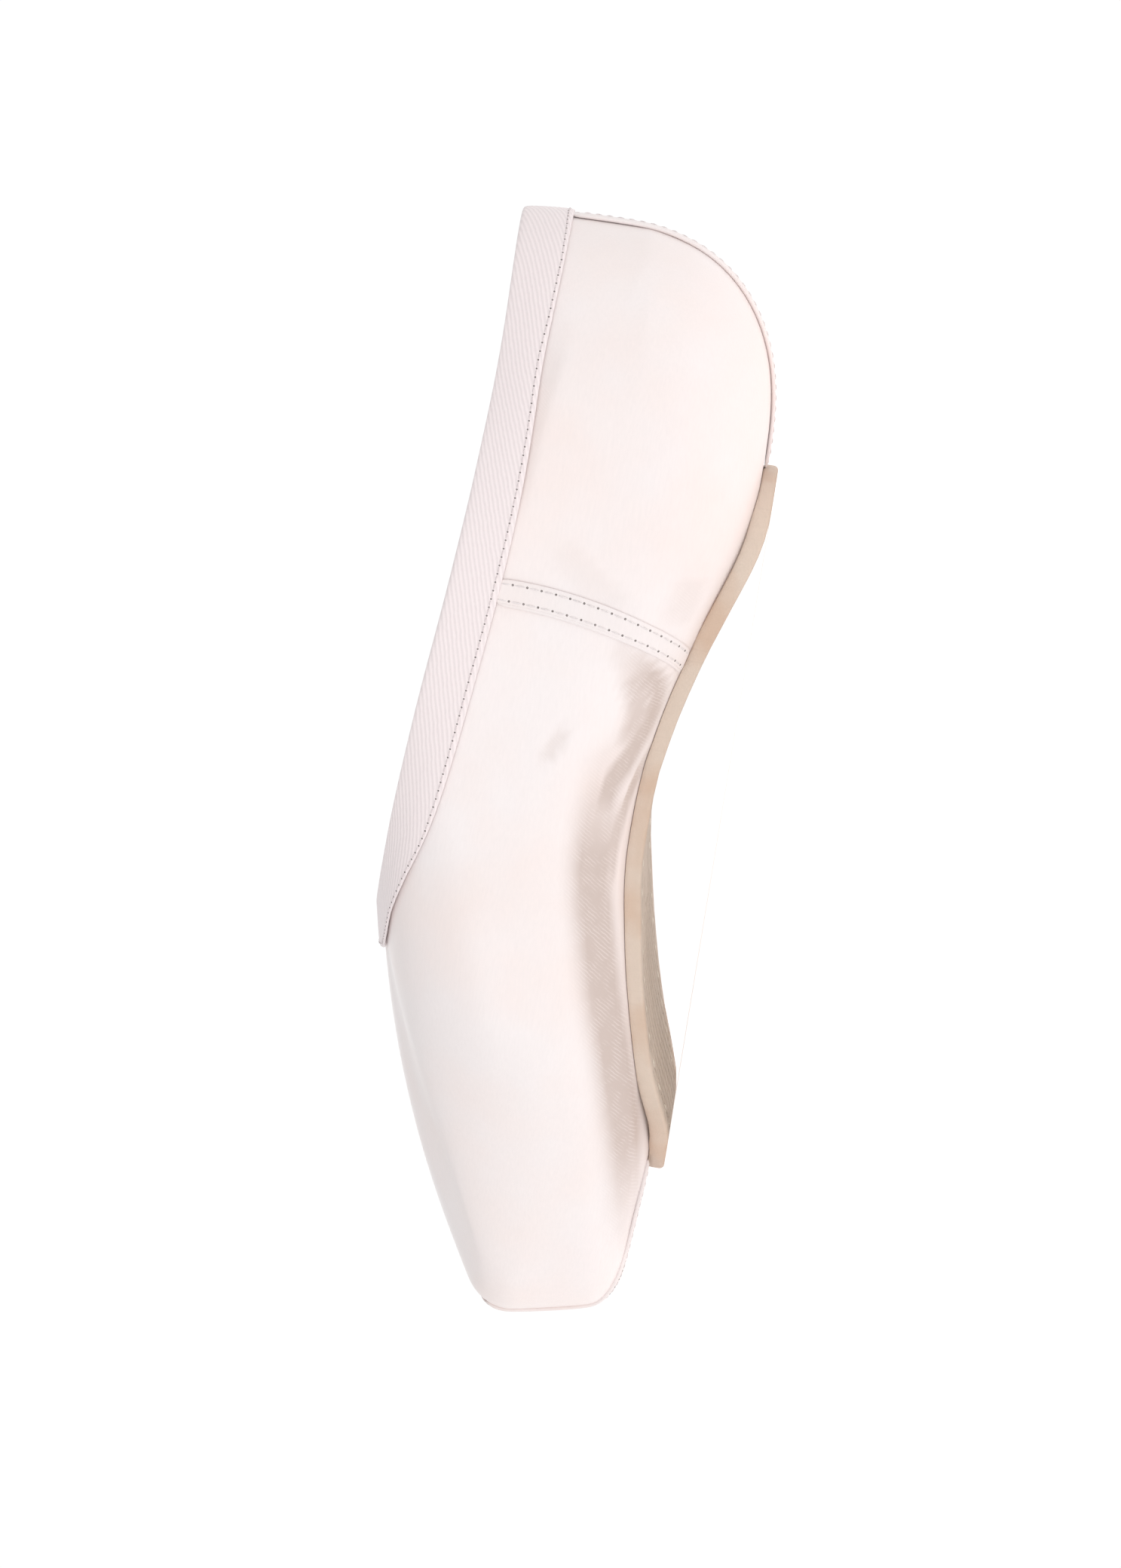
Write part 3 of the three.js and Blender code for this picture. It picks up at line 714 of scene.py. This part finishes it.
def press_folds(piece, inside):
    """Moves the outer wall's vertices in and out along the folds, and notes the painted shade each of them
    gets.
    """
    surface = surface_of(piece)
    count = len(piece.data.vertices)
    places = np.array([tuple(v.co) for v in piece.data.vertices])
    normals = np.array([tuple(v.normal) for v in piece.data.vertices])
    move = np.zeros(count)
    painted_shade = np.zeros(count)
    for side in SIDES:
        for line, width, depth, shade in fold_lines(surface, side):
            path = np.array([tuple(p) for p in line])
            near = np.full(count, np.inf)
            at = np.zeros(count)
            level = np.zeros(count)
            for k, (a, b) in enumerate(zip(path, path[1:])):
                way = b - a
                t = np.clip(((places - a) @ way) / (way @ way), 0, 1)
                gap = np.linalg.norm(places - a - t[:, None] * way, axis=1)
                closer = gap < near
                near[closer] = gap[closer]
                at[closer] = (k + t[closer]) / (len(path) - 1)
                level[closer] = (a[2] + t * way[2])[closer]
            below = np.clip((level - places[:, 2]) / (0.5 * width), 0, 1)
            reach_out = width * (1 - (1 - FOLD_CRISP) * below)
            profile = np.cos(np.clip(near / reach_out, 0, 1) * math.pi / 2) ** 2
            taper = np.clip(np.minimum(at, 1 - at) * FOLD_GROWTH + FOLD_START, 0, 1)
            move += profile * taper * depth
            painted_shade = np.maximum(painted_shade, np.clip(SHADE_SPREAD * profile, 0, 1) * taper * shade)
    move[inside] = 0
    painted_shade[inside] = 0
    moved = places - normals * move[:, None]
    piece.data.vertices.foreach_set("co", moved.ravel())
    # The painted shade is stored on the vertices for the satin's colour.
    add_values(piece, "fold_and_painted_shade", painted_shade)
    piece.data.update()


# Layers on the upper

# The layers' thickness and how far they are clear of the upper.
TAPE_THICKNESS = 0.6 * MM
FOLD_THICKNESS = 1.0 * MM
LAYER_CLEAR = 0.06 * MM
# How much longer a strip is where it goes under the binding or the sole.
UNDER_BINDING = 1.5 * MM
UNDER_SOLE = 1.2 * MM
BINDING_POINTS, TAPE_POINTS, PANEL_POINTS = 900, 60, 80
BINDING_SINK = 0.02 * MM
# Shares of the satin's colour on the layers: darker copies are painted shade on the tapes, the heel's fold
# and the toe panel, and a lighter copy is a painted highlight on the heel's piping.
TAPE_PAINTED_SHADE, PANEL_PAINTED_SHADE, PIPING_PAINTED_HIGHLIGHT = 0.97, 0.955, 1.02


def reach(piece, axis, length):
    """Lengthens a strip at its far end along X or Z, where it goes under the sole or the binding."""
    end = max(v.co[axis] for v in piece.data.vertices)
    for v in piece.data.vertices:
        if v.co[axis] > end - length:
            v.co[axis] += length


def lay_on_upper(piece, thickness):
    """Sets a thin layer down on the dressed upper, its inner face just clear of it."""
    upper = surface_of(bpy.data.objects["satin_upper"])
    places = [v.co.copy() for v in piece.data.vertices]
    tree = tree_of(places)
    for v, p in zip(piece.data.vertices, places):
        other = tree.find_n(p, 2)[1][0]
        place, normal, _, _ = upper.find_nearest(p)
        lift = thickness if (p - other).dot(normal) > 0 else 0
        v.co = place + normal * (lift + LAYER_CLEAR)


def long_edges(piece):
    return sorted(strip_edges(piece), key=length_of)[-2:]


def same_way(edge, other):
    """Points along two edges of a tape, in the same direction."""
    path, across = resample(edge, TAPE_POINTS, False), resample(other, TAPE_POINTS, False)
    if (path[0] - across[0]).length > (path[0] - across[-1]).length:
        across.reverse()
    return path, across


def tape_coordinates(piece, path):
    """A UV map with the length along a closed path as u and the distance from it as v, in metres."""
    count = len(path)
    step = length_of(path, True) / count
    tree = tree_of(path)
    found = [tree.find(v.co) for v in piece.data.vertices]
    layer = piece.data.uv_layers.new(name="UVMap")
    for polygon in piece.data.polygons:
        places = [found[piece.data.loops[i].vertex_index] for i in polygon.loop_indices]
        turn = [p[1] for p in places]
        wrap = max(turn) - min(turn) > count / 2
        for i, (_, index, gap) in zip(polygon.loop_indices, places):
            u = index + (count if wrap and index < count / 2 else 0)
            layer.data[i].uv = (u * step, gap)


def sew_rows(names, seam, rows, surface, pitch, colours):
    """Rows of satin stitches along a layer and their needle holes, as two pieces."""
    threads, holes = [], []
    for path, toward in rows:
        stitches, marks = sewn(seam, path, toward, surface, pitch)
        threads += stitches
        holes += needle_holes(seam, marks[1:-1], surface)
    detail(names.format("stitches"), threads, satin_thread(colours), "satin")
    detail(names.format("needle_holes"), holes, hole_shade(colours), "satin")


class SHOE_OT_upper(bpy.types.Operator):
    """Dress the upper: one wall of satin outside and cotton inside, with its soft folds"""

    bl_idname = "pointe_shoe.upper"
    bl_label = "Upper"

    def execute(self, context):
        colours = context.scene.shoe_colours
        piece = merged_copy("upper", "satin_upper")
        piece.data.materials.append(material("satin", satin_material, colours))
        piece.data.materials.append(material("lining_cotton", cotton_material, colours.lining))
        for polygon in piece.data.polygons:
            outside = polygon.center - hollow_by(polygon.center)
            polygon.material_index = 1 if polygon.normal.dot(outside) < 0 else 0
        subdivide(piece, context.scene.shoe_sewing.cloth_levels)
        inside = np.zeros(len(piece.data.vertices), bool)
        for polygon in piece.data.polygons:
            if polygon.material_index == 1:
                inside[list(polygon.vertices)] = True
        press_folds(piece, inside)
        finish(piece, None, "satin", ["upper"])
        return {"FINISHED"}


class SHOE_OT_binding(bpy.types.Operator):
    """Fold the twill tape over the opening's edge and sew it down"""

    bl_idname = "pointe_shoe.binding"
    bl_label = "Binding"

    def execute(self, context):
        colours, sewing = settings(context)
        seam = SEAMS["binding"]
        piece = merged_copy("binding", "twill_binding")
        low = sorted(sharp_loops(piece), key=lambda points: mean_of(points).z)[:2]
        middle = Vector((mean_of(low[0]).x, 0, 50 * MM))
        edge = max(low, key=lambda points: sum((p - middle).length for p in points))
        path = resample(edge, BINDING_POINTS, True)
        subdivide(piece, 2)
        tape_coordinates(piece, path)
        finish(piece, material("twill", twill_material, colours), "twill", ["binding"])
        surface = surface_of(piece)
        higher = [p + Vector((0, 0, 10 * MM)) for p in path]
        stitches, marks = sewn(seam, path, higher, surface, sewing.binding_pitch, BINDING_SINK, closed=True)
        thread = material("twill_thread", thread_material, scaled(colours.twill, 0.86))
        detail("binding_stitches", stitches, thread, "twill")
        detail("binding_needle_holes", needle_holes(seam, marks, surface), hole_shade(colours), "twill")
        return {"FINISHED"}


class SHOE_OT_side_seams(bpy.types.Operator):
    """Lay the satin tapes over the side seams, each with a piped edge and two rows of stitches"""

    bl_idname = "pointe_shoe.side_seams"
    bl_label = "Side seams"

    def execute(self, context):
        colours, sewing = settings(context)
        seam = SEAMS["side"]
        satin = material("satin_tape", satin_material, colours, TAPE_PAINTED_SHADE)
        for word in ("left", "right"):
            piece = merged_copy("side_seam_" + word, "side_tape_" + word)
            reach(piece, 2, UNDER_BINDING)
            lay_on_upper(piece, TAPE_THICKNESS)
            edges = sorted(long_edges(piece), key=lambda points: mean_of(points).x)
            subdivide(piece, 3)
            surface = surface_of(piece)
            finish(piece, satin, "satin", ["side_seam_" + word])
            rows = [same_way(*edges), same_way(*edges[::-1])]
            sew_rows("side_{}_" + word, seam, rows, surface, sewing.side_pitch, colours)
            pipe = piping(seam, edges[1], surface, sewing.piping_radius)
            detail("side_piping_" + word, [pipe], satin, "satin")
        return {"FINISHED"}


class SHOE_OT_back_seam(bpy.types.Operator):
    """Fold the satin over the seam down the heel's back"""

    bl_idname = "pointe_shoe.back_seam"
    bl_label = "Back seam"

    def execute(self, context):
        colours, sewing = settings(context)
        seam = SEAMS["heel"]
        piece = merged_copy("back_seam", "heel_fold")
        reach(piece, 2, UNDER_BINDING)
        reach(piece, 0, UNDER_SOLE)
        lay_on_upper(piece, FOLD_THICKNESS)
        right, left = sorted(long_edges(piece), key=lambda points: mean_of(points).y)
        subdivide(piece, 3)
        surface = surface_of(piece)
        finish(piece, material("satin_tape", satin_material, colours, TAPE_PAINTED_SHADE), "satin", ["back_seam"])
        pipe = piping(seam, left, surface, 0.8 * sewing.piping_radius)
        # The heel's piping is a lighter copy of the satin, a painted highlight on its folded edge.
        detail("heel_piping", [pipe], material("satin_warm", satin_material, colours, PIPING_PAINTED_HIGHLIGHT), "satin")
        stitches, _ = sewn(seam, *same_way(right, left), surface, sewing.heel_pitch)
        detail("heel_stitches", stitches, satin_thread(colours), "satin")
        return {"FINISHED"}


class SHOE_OT_toe_panel(bpy.types.Operator):
    """Lay the satin panel under the toe and over the platform, with its piped and stitched sides"""

    bl_idname = "pointe_shoe.toe_panel"
    bl_label = "Toe panel"

    def execute(self, context):
        colours, sewing = settings(context)
        seam = SEAMS["toe"]
        piece = merged_copy("toe_panel", "toe_panel_satin")
        lay_on_upper(piece, TAPE_THICKNESS)
        sides = sorted(strip_edges(piece), key=lambda points: abs(mean_of(points).y))[-2:]
        subdivide(piece, 2)
        surface = surface_of(piece)
        satin = material("satin_panel", satin_material, colours, PANEL_PAINTED_SHADE)
        finish(piece, satin, "satin", ["toe_panel"])
        paths = [resample(edge, PANEL_POINTS, False) for edge in sides]
        rows = [(path, [Vector((p.x, 0, p.z)) for p in path]) for path in paths]
        sew_rows("toe_{}", seam, rows, surface, sewing.toe_pitch, colours)
        pipes = [piping(seam, edge, surface, sewing.piping_radius) for edge in sides]
        detail("toe_piping", pipes, satin, "satin")
        return {"FINISHED"}


# Outsole

SOLE_THICKNESS = 3 * MM
SOLE_EDGE_ROUND = 1 * MM
SOLE_POINTS = 360
STATION = 3 * MM
# From the middle of the sole seam's channel to its sides.
CHANNEL = 0.8 * MM
# How far the upper side rises at most to meet the dressed upper.
MOST_RISE = 1.2 * MM
# How far in from its edge the leather is burnished and its rim has a painted highlight.
EDGE_FADE = 4.5 * MM
UP, DOWN = Vector((0, 0, 1)), Vector((0, 0, -1))

LATTICE_SLOPE = math.radians(35.5)
LATTICE_LINES = 24
LATTICE_LINE = 0.45 * MM
LATTICE_EDGE = 2.4 * MM
LATTICE_MARGIN = 0.2 * MM
LATTICE_STEP = 0.25 * MM
LATTICE_STEPS = 400
SHORTEST_LINE = 1.2 * MM
# The pressed window above the lattice, in millimetres: x along the sole from the shoe's middle, and half its
# width.
WINDOW = ({"x": 6.0, "half": 0.0}, {"x": 20.6, "half": 8.0}, {"x": 28.0, "half": 4.7})
# Where the lattice's upper border, which runs on from the window's widest place, meets the sole's edge.
LATTICE_SHOULDER = {"x": 38.0, "half": 22.0}

# The sole's stitches and awl holes: the share a stitch leaves free at its ends, how deep it lies, how far it
# sways in millimetres, and the hole's size.
SOLE_GAP, SOLE_SINK = 0.05, -0.06 * MM
SWAY, MORE_SWAY = 0.2, 0.15
AWL_RADIUS, AWL_SINK, AWL_STRETCH = 0.6 * MM, -0.2 * MM, 1.6


def half_width(x, rows):
    """Half the width at x of a shape that is given by rows of x and half width."""
    return float(np.interp(x, [row["x"] * MM for row in rows], [row["half"] * MM for row in rows]))


class Sole:
    """The sole's plan and arch, read from its solid, and the pattern that is pressed into it."""

    def __init__(self):
        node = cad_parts["outsole"]
        self.solid = surface_of(node)
        flat = [(v.co, v.co.z - self.lift(v.co.x)) for v in node.data.vertices]
        ring = {(round(p.x / WELD), round(p.y / WELD)): p for p, z in flat
                if abs(z - SOLE_EDGE_ROUND) < 0.12 * MM}
        centre = (SOLE_LOW.x + SOLE_HIGH.x) / 2
        points = sorted(ring.values(), key=lambda p: math.atan2(p.y * 3, p.x - centre))
        self.outline = resample([Vector((p.x, p.y, 0)) for p in points], SOLE_POINTS, True)
        self.border = tree_of(self.outline)

    def lift(self, x):
        """How high the arch lifts the sole's underside at x."""
        x = min(max(x, SOLE_LOW.x + 1.5 * MM), SOLE_HIGH.x - 1.5 * MM)
        place, _, _, _ = self.solid.ray_cast(Vector((x, 0.1 * MM, -50 * MM)), UP)
        return place.z

    def inset(self, x, y):
        return self.border.find(Vector((x, y, 0)))[2]

    def in_lattice(self, x, y):
        if x <= WINDOW[0]["x"] * MM or not SOLE_LOW.x < x < SOLE_HIGH.x:
            return False
        border = (*WINDOW[:2], LATTICE_SHOULDER)
        if x < LATTICE_SHOULDER["x"] * MM and abs(y) >= half_width(x, border) - LATTICE_MARGIN:
            return False
        if x < WINDOW[2]["x"] * MM and abs(y) <= half_width(x, WINDOW) + LATTICE_MARGIN:
            return False
        return self.inset(x, y) > LATTICE_EDGE

    def stretches(self, origin, way):
        """Where a line across the sole lies in the lattice, as pairs of points."""
        start = None
        for k in range(-LATTICE_STEPS, LATTICE_STEPS + 1):
            p = origin + way * (k * LATTICE_STEP)
            inside = self.in_lattice(p.x, p.y)
            if inside and start is None:
                start = p
            if not inside and start is not None:
                if (p - start).length > SHORTEST_LINE:
                    yield start, p
                start = None

    def pattern(self, pitch):
        """The pressed lines of the window, the lattice and its border, as pairs of points."""
        corners = [Vector((row["x"] * MM, row["half"] * MM, 0)) for row in WINDOW]
        shoulder = Vector((LATTICE_SHOULDER["x"] * MM, LATTICE_SHOULDER["half"] * MM, 0))
        first = corners[2].x - LATTICE_LINES // 3 * pitch
        border = corners[1].x - corners[1].y / math.tan(LATTICE_SLOPE)
        mirror = Matrix.Diagonal((1, -1, 1))
        lines = [(corners[2], mirror @ corners[2])]
        for turn in (Matrix.Identity(3), mirror):
            lines += [(turn @ corners[0], turn @ corners[1]), (turn @ corners[1], turn @ corners[2]),
                      (turn @ corners[1], turn @ corners[1].lerp(shoulder, 0.97))]
            way = turn @ Vector((math.cos(LATTICE_SLOPE), math.sin(LATTICE_SLOPE), 0))
            for k in range(LATTICE_LINES):
                start = first + (k + 0.5) * pitch
                if abs(start - border) > 0.3 * pitch:
                    lines += self.stretches(Vector((start, 0, 0)), way)
        return lines


def cut_groove(bm, a, b):
    """Cuts the underside along a line from a to b and along both sides of its groove."""
    way = (b - a).normalized()
    side = Vector((-way.y, way.x, 0))
    length = (b - a).length
    for offset in (-LATTICE_LINE, 0, LATTICE_LINE):
        faces = []
        for face in bm.faces:
            if face.normal.z > -0.5:
                continue
            gaps = [(v.co - a).dot(side) - offset for v in face.verts]
            along = [(v.co - a).dot(way) for v in face.verts]
            if min(gaps) < -WELD and max(gaps) > WELD and max(along) > -MM and min(along) < length + MM:
                faces.append(face)
        around = list({v for f in faces for v in f.verts}) + list({e for f in faces for e in f.edges})
        bmesh.ops.bisect_plane(bm, geom=around + faces, dist=WELD, plane_co=a + side * offset, plane_no=side)
    bm.normal_update()


def in_grooves(places, lines):
    """Which of the underside's points lie in the middle of a groove."""
    found = np.zeros(len(places), bool)
    for a, b in lines:
        way = np.array((b - a).normalized())
        gap = places - np.array(a)
        along = gap @ way
        aside = np.abs(gap[:, 0] * way[1] - gap[:, 1] * way[0])
        found |= (aside < 4 * WELD) & (along > -WELD) & (along < (b - a).length + WELD)
    return found & (places[:, 2] < WELD)


class SHOE_OT_outsole(bpy.types.Operator):
    """Cut the leather sole, press its lattice and channel, round its edge and sew it round"""

    bl_idname = "pointe_shoe.outsole"
    bl_label = "Outsole"

    def execute(self, context):
        colours, sewing = settings(context)
        sole = Sole()
        piece = self.blank(context, sole)
        bm = bmesh.new()
        bm.from_mesh(piece.data)
        self.ring(bm, sewing.sole_inset)
        lines = sole.pattern(sewing.lattice_pitch)
        for a, b in lines:
            cut_groove(bm, a, b)
        values = self.press(bm, sole, sewing, in_grooves(np.array([tuple(v.co) for v in bm.verts]), lines))
        bm.to_mesh(piece.data)
        bm.free()
        add_values(piece, "pressed", [pressed for pressed, _ in values])
        add_values(piece, "edge", [edge for _, edge in values])
        finish(piece, material("sole_leather", leather_material, colours), "leather", ["outsole"],
               smooth=math.radians(24))
        self.sew(colours, sewing, sole)
        return {"FINISHED"}

    def blank(self, context, sole):
        """The flat sole, cut to its outline."""
        select_nothing()
        bpy.ops.mesh.primitive_circle_add(vertices=SOLE_POINTS, radius=50 * MM, fill_type="NGON")
        piece = context.active_object
        piece.name = piece.data.name = "leather_sole"
        for v, p in zip(piece.data.vertices, sole.outline):
            v.co = p
        up = {"TRANSFORM_OT_translate": {"value": (0, 0, SOLE_THICKNESS)}}
        edit_all(piece, FACE_OUT, (bpy.ops.mesh.extrude_region_move, up), FACE_OUT)
        return piece

    def ring(self, bm, inset):
        """Rounds the edge and cuts the underside in rings and stations, for the channel and the arch."""
        rims = [e for e in bm.edges if abs(e.verts[0].co.z - e.verts[1].co.z) < WELD]
        bmesh.ops.bevel(bm, geom=rims, offset=SOLE_EDGE_ROUND, segments=4, profile=0.5, affect="EDGES")
        bm.normal_update()
        here = SOLE_EDGE_ROUND
        for ring in (LATTICE_EDGE, inset - CHANNEL, inset - CHANNEL / 2, inset, inset + CHANNEL / 2,
                     inset + CHANNEL):
            floor = max((f for f in bm.faces if f.normal.z < -0.9), key=lambda f: f.calc_area())
            bmesh.ops.inset_region(bm, faces=[floor], thickness=ring - here, use_even_offset=True)
            bm.normal_update()
            here = ring
        for x in np.arange(SOLE_LOW.x + STATION, SOLE_HIGH.x - 2 * MM, STATION):
            bmesh.ops.bisect_plane(bm, geom=list(bm.verts) + list(bm.edges) + list(bm.faces), dist=WELD,
                                   plane_co=(float(x), 0, 0), plane_no=(1, 0, 0))
        bm.normal_update()

    def press(self, bm, sole, sewing, grooves):
        """Presses the grooves and the channel, lifts the sole to its arch and up to the dressed upper.

        Gives how deep each point is pressed and how near it is to the edge, as shares.
        """
        upper = surface_of(bpy.data.objects["satin_upper"])
        values = []
        for v, groove in zip(bm.verts, grooves):
            inset = sole.inset(v.co.x, v.co.y)
            depth, mark = (sewing.lattice_depth, 1.0) if groove else (0, 0.0)
            gap = abs(inset - sewing.sole_inset) / CHANNEL
            if v.co.z < WELD and gap < 1.05:
                dish = math.cos(min(gap, 1) * math.pi / 2) ** 2
                depth = max(depth, dish * sewing.channel_depth)
                mark = max(mark, 0.12 * dish)
            values.append((mark, 1 - min(inset / EDGE_FADE, 1)))
            rise = max(2 * v.co.z / SOLE_THICKNESS - 1, 0)
            v.co.z += depth + sole.lift(v.co.x)
            above, _, _, gap = upper.ray_cast(v.co - UP * MM, UP, 4 * MM)
            if rise and above is not None:
                v.co.z += rise * min(max(gap - MM, 0), MOST_RISE)
        return values

    def sew(self, colours, sewing, sole):
        """Sews the sole round with waxed thread, from awl hole to awl hole."""
        path = []
        for i, p in enumerate(sole.outline):
            way = sole.outline[(i + 1) % SOLE_POINTS] - sole.outline[i - 1]
            place = p + Vector((-way.y, way.x, 0)).normalized() * sewing.sole_inset
            path.append(Vector((place.x, place.y, sole.lift(place.x) + sewing.channel_depth)))
        marks = resample(path, round(length_of(path, True) / sewing.sole_pitch), True)
        rng = random.Random(4)
        threads, holes = [], []
        for a, b in zip(marks, marks[1:] + marks[:1]):
            sway = (SWAY + MORE_SWAY * rng.random()) * MM
            threads.append(stitch(a.lerp(b, SOLE_GAP), b.lerp(a, SOLE_GAP), DOWN, sewing.thread_radius,
                                  SOLE_SINK, sway))
            holes.append(hole(a, DOWN, AWL_RADIUS, AWL_SINK, b - a, AWL_STRETCH))
        detail("sole_stitches", threads, material("waxed_thread", thread_material, colours.thread), "leather")
        # The awl holes are painted dark as the shade inside them.
        painted_shade = material("awl_hole", hole_material, scaled(colours.leather_dark, 0.25))
        detail("sole_awl_holes", holes, painted_shade, "leather")


class SHOE_OT_insole(bpy.types.Operator):
    """Finish the board under the foot"""

    bl_idname = "pointe_shoe.insole"
    bl_label = "Insole"

    def execute(self, context):
        piece = merged_copy("insole", "insole_board")
        subdivide(piece, 2)
        board = material("board", board_material, context.scene.shoe_colours.board)
        finish(piece, board, "insole_board", ["insole"], smooth=math.radians(40))
        return {"FINISHED"}


# Camera, lights and floor

LIGHTS = (
    {"name": "key_light", "place": (0.25, 1.25, 0.45), "size": 0.6, "power": 2.0},
    {"name": "fill_light", "place": (-0.95, 0.7, 0.3), "size": 1.1, "power": 0.5},
    {"name": "top_light", "place": (0.1, -0.15, 1.3), "size": 0.6, "power": 0.6},
    {"name": "far_light", "place": (0.2, -1.1, 0.5), "size": 0.9, "power": 0.8},
)
# The surroundings' brightness from the floor up to the horizon and overhead.
HORIZON_LIGHT = 1.03
OVERHEAD_LIGHT = 0.6
# How high the surroundings' light starts and ends to fade, as the sine of the height over the horizon.
FADE_START, FADE_END = 0.1, 0.6
SENSOR_WIDTH = 36
CLIP_START, CLIP_END = 0.01, 200


def aim(at, place):
    return (place - at).to_track_quat("Z", "Y").to_matrix().to_4x4()


class SHOE_OT_stage(bpy.types.Operator):
    """Set the camera, the lights, the pale surroundings and the floor"""

    bl_idname = "pointe_shoe.stage"
    bl_label = "Stage"

    def execute(self, context):
        scene = context.scene
        stage = scene.shoe_stage
        middle = Vector((0, 0, SHOE_HEIGHT / 2))
        rise = math.asin((stage.camera_height - middle.z) / stage.camera_distance)
        back = Vector((math.sin(stage.azimuth) * math.cos(rise), -math.cos(stage.azimuth) * math.cos(rise),
                       math.sin(rise)))
        toe = Vector((1, 0, 0)) - back * back.x
        toe.normalize()
        sole = back.cross(toe)
        right = sole * math.cos(stage.roll) - toe * math.sin(stage.roll)
        up = -(toe * math.cos(stage.roll) + sole * math.sin(stage.roll))
        data = bpy.data.cameras.new("camera")
        data.lens = stage.lens
        data.sensor_width = SENSOR_WIDTH
        data.clip_start, data.clip_end = CLIP_START, CLIP_END
        camera = bpy.data.objects.new("camera", data)
        turn = Matrix((right, up, back)).transposed().to_4x4()
        looked_at = middle + toe * stage.toward_toe
        camera.matrix_world = Matrix.Translation(looked_at + back * stage.camera_distance) @ turn
        scene.collection.objects.link(camera)
        scene.camera = camera

        for row in LIGHTS:
            light = bpy.data.lights.new(row["name"], "AREA")
            light.size = row["size"]
            light.energy = row["power"]
            lamp = bpy.data.objects.new(row["name"], light)
            place = Vector(row["place"])
            lamp.matrix_world = Matrix.Translation(place) @ aim(middle, place)
            lamp.visible_camera = False
            scene.collection.objects.link(lamp)

        world = bpy.data.worlds.new("studio")
        world.use_nodes = True
        nodes, links = world.node_tree.nodes, world.node_tree.links
        direction = nodes.new("ShaderNodeTexCoord").outputs["Generated"]
        split = nodes.new("ShaderNodeSeparateXYZ")
        links.new(direction, split.inputs["Vector"])
        fade = nodes.new("ShaderNodeMapRange")
        fade.interpolation_type = "SMOOTHSTEP"
        for key, value in (("From Min", FADE_START), ("From Max", FADE_END),
                           ("To Min", HORIZON_LIGHT), ("To Max", OVERHEAD_LIGHT)):
            fade.inputs[key].default_value = value
        links.new(split.outputs["Z"], fade.inputs["Value"])
        links.new(fade.outputs["Result"], nodes["Background"].inputs["Strength"])
        nodes["Background"].inputs["Color"].default_value = (1, 1, 1, 1)
        scene.world = world
        scene.view_settings.view_transform = "Standard"

        select_nothing()
        bpy.ops.mesh.primitive_plane_add(size=stage.floor_size)
        floor = context.active_object
        floor.name = floor.data.name = "floor"
        floor.data.materials.append(material("floor_paper", floor_material))
        return {"FINISHED"}


STEPS = (SHOE_OT_upper, SHOE_OT_binding, SHOE_OT_side_seams, SHOE_OT_back_seam, SHOE_OT_toe_panel,
         SHOE_OT_outsole, SHOE_OT_insole, SHOE_OT_stage)


class SHOE_PT_panel(bpy.types.Panel):
    """The shoe's pieces and sizes"""

    bl_idname = "SHOE_PT_panel"
    bl_label = "Pointe Shoe"
    bl_space_type = "VIEW_3D"
    bl_region_type = "UI"
    bl_category = "Pointe Shoe"

    def draw(self, context):
        layout = self.layout
        for step in STEPS:
            layout.operator(step.bl_idname)
        for group in (context.scene.shoe_colours, context.scene.shoe_sewing, context.scene.shoe_stage):
            box = layout.box()
            for key in group.bl_rna.properties.keys():
                if key not in ("name", "rna_type"):
                    box.prop(group, key)


CLASSES = (ShoeColours, ShoeSewing, ShoeStage, *STEPS, SHOE_PT_panel)
GROUPS = {"shoe_colours": ShoeColours, "shoe_sewing": ShoeSewing, "shoe_stage": ShoeStage}


def register():
    for cls in CLASSES:
        bpy.utils.register_class(cls)
    for key, group in GROUPS.items():
        setattr(bpy.types.Scene, key, bpy.props.PointerProperty(type=group))


def unregister():
    for key in GROUPS:
        delattr(bpy.types.Scene, key)
    for cls in reversed(CLASSES):
        bpy.utils.unregister_class(cls)


def main():
    register()
    for step in STEPS:
        group, name = step.bl_idname.split(".")
        getattr(getattr(bpy.ops, group), name)()


if __name__ == "__main__":
    main()
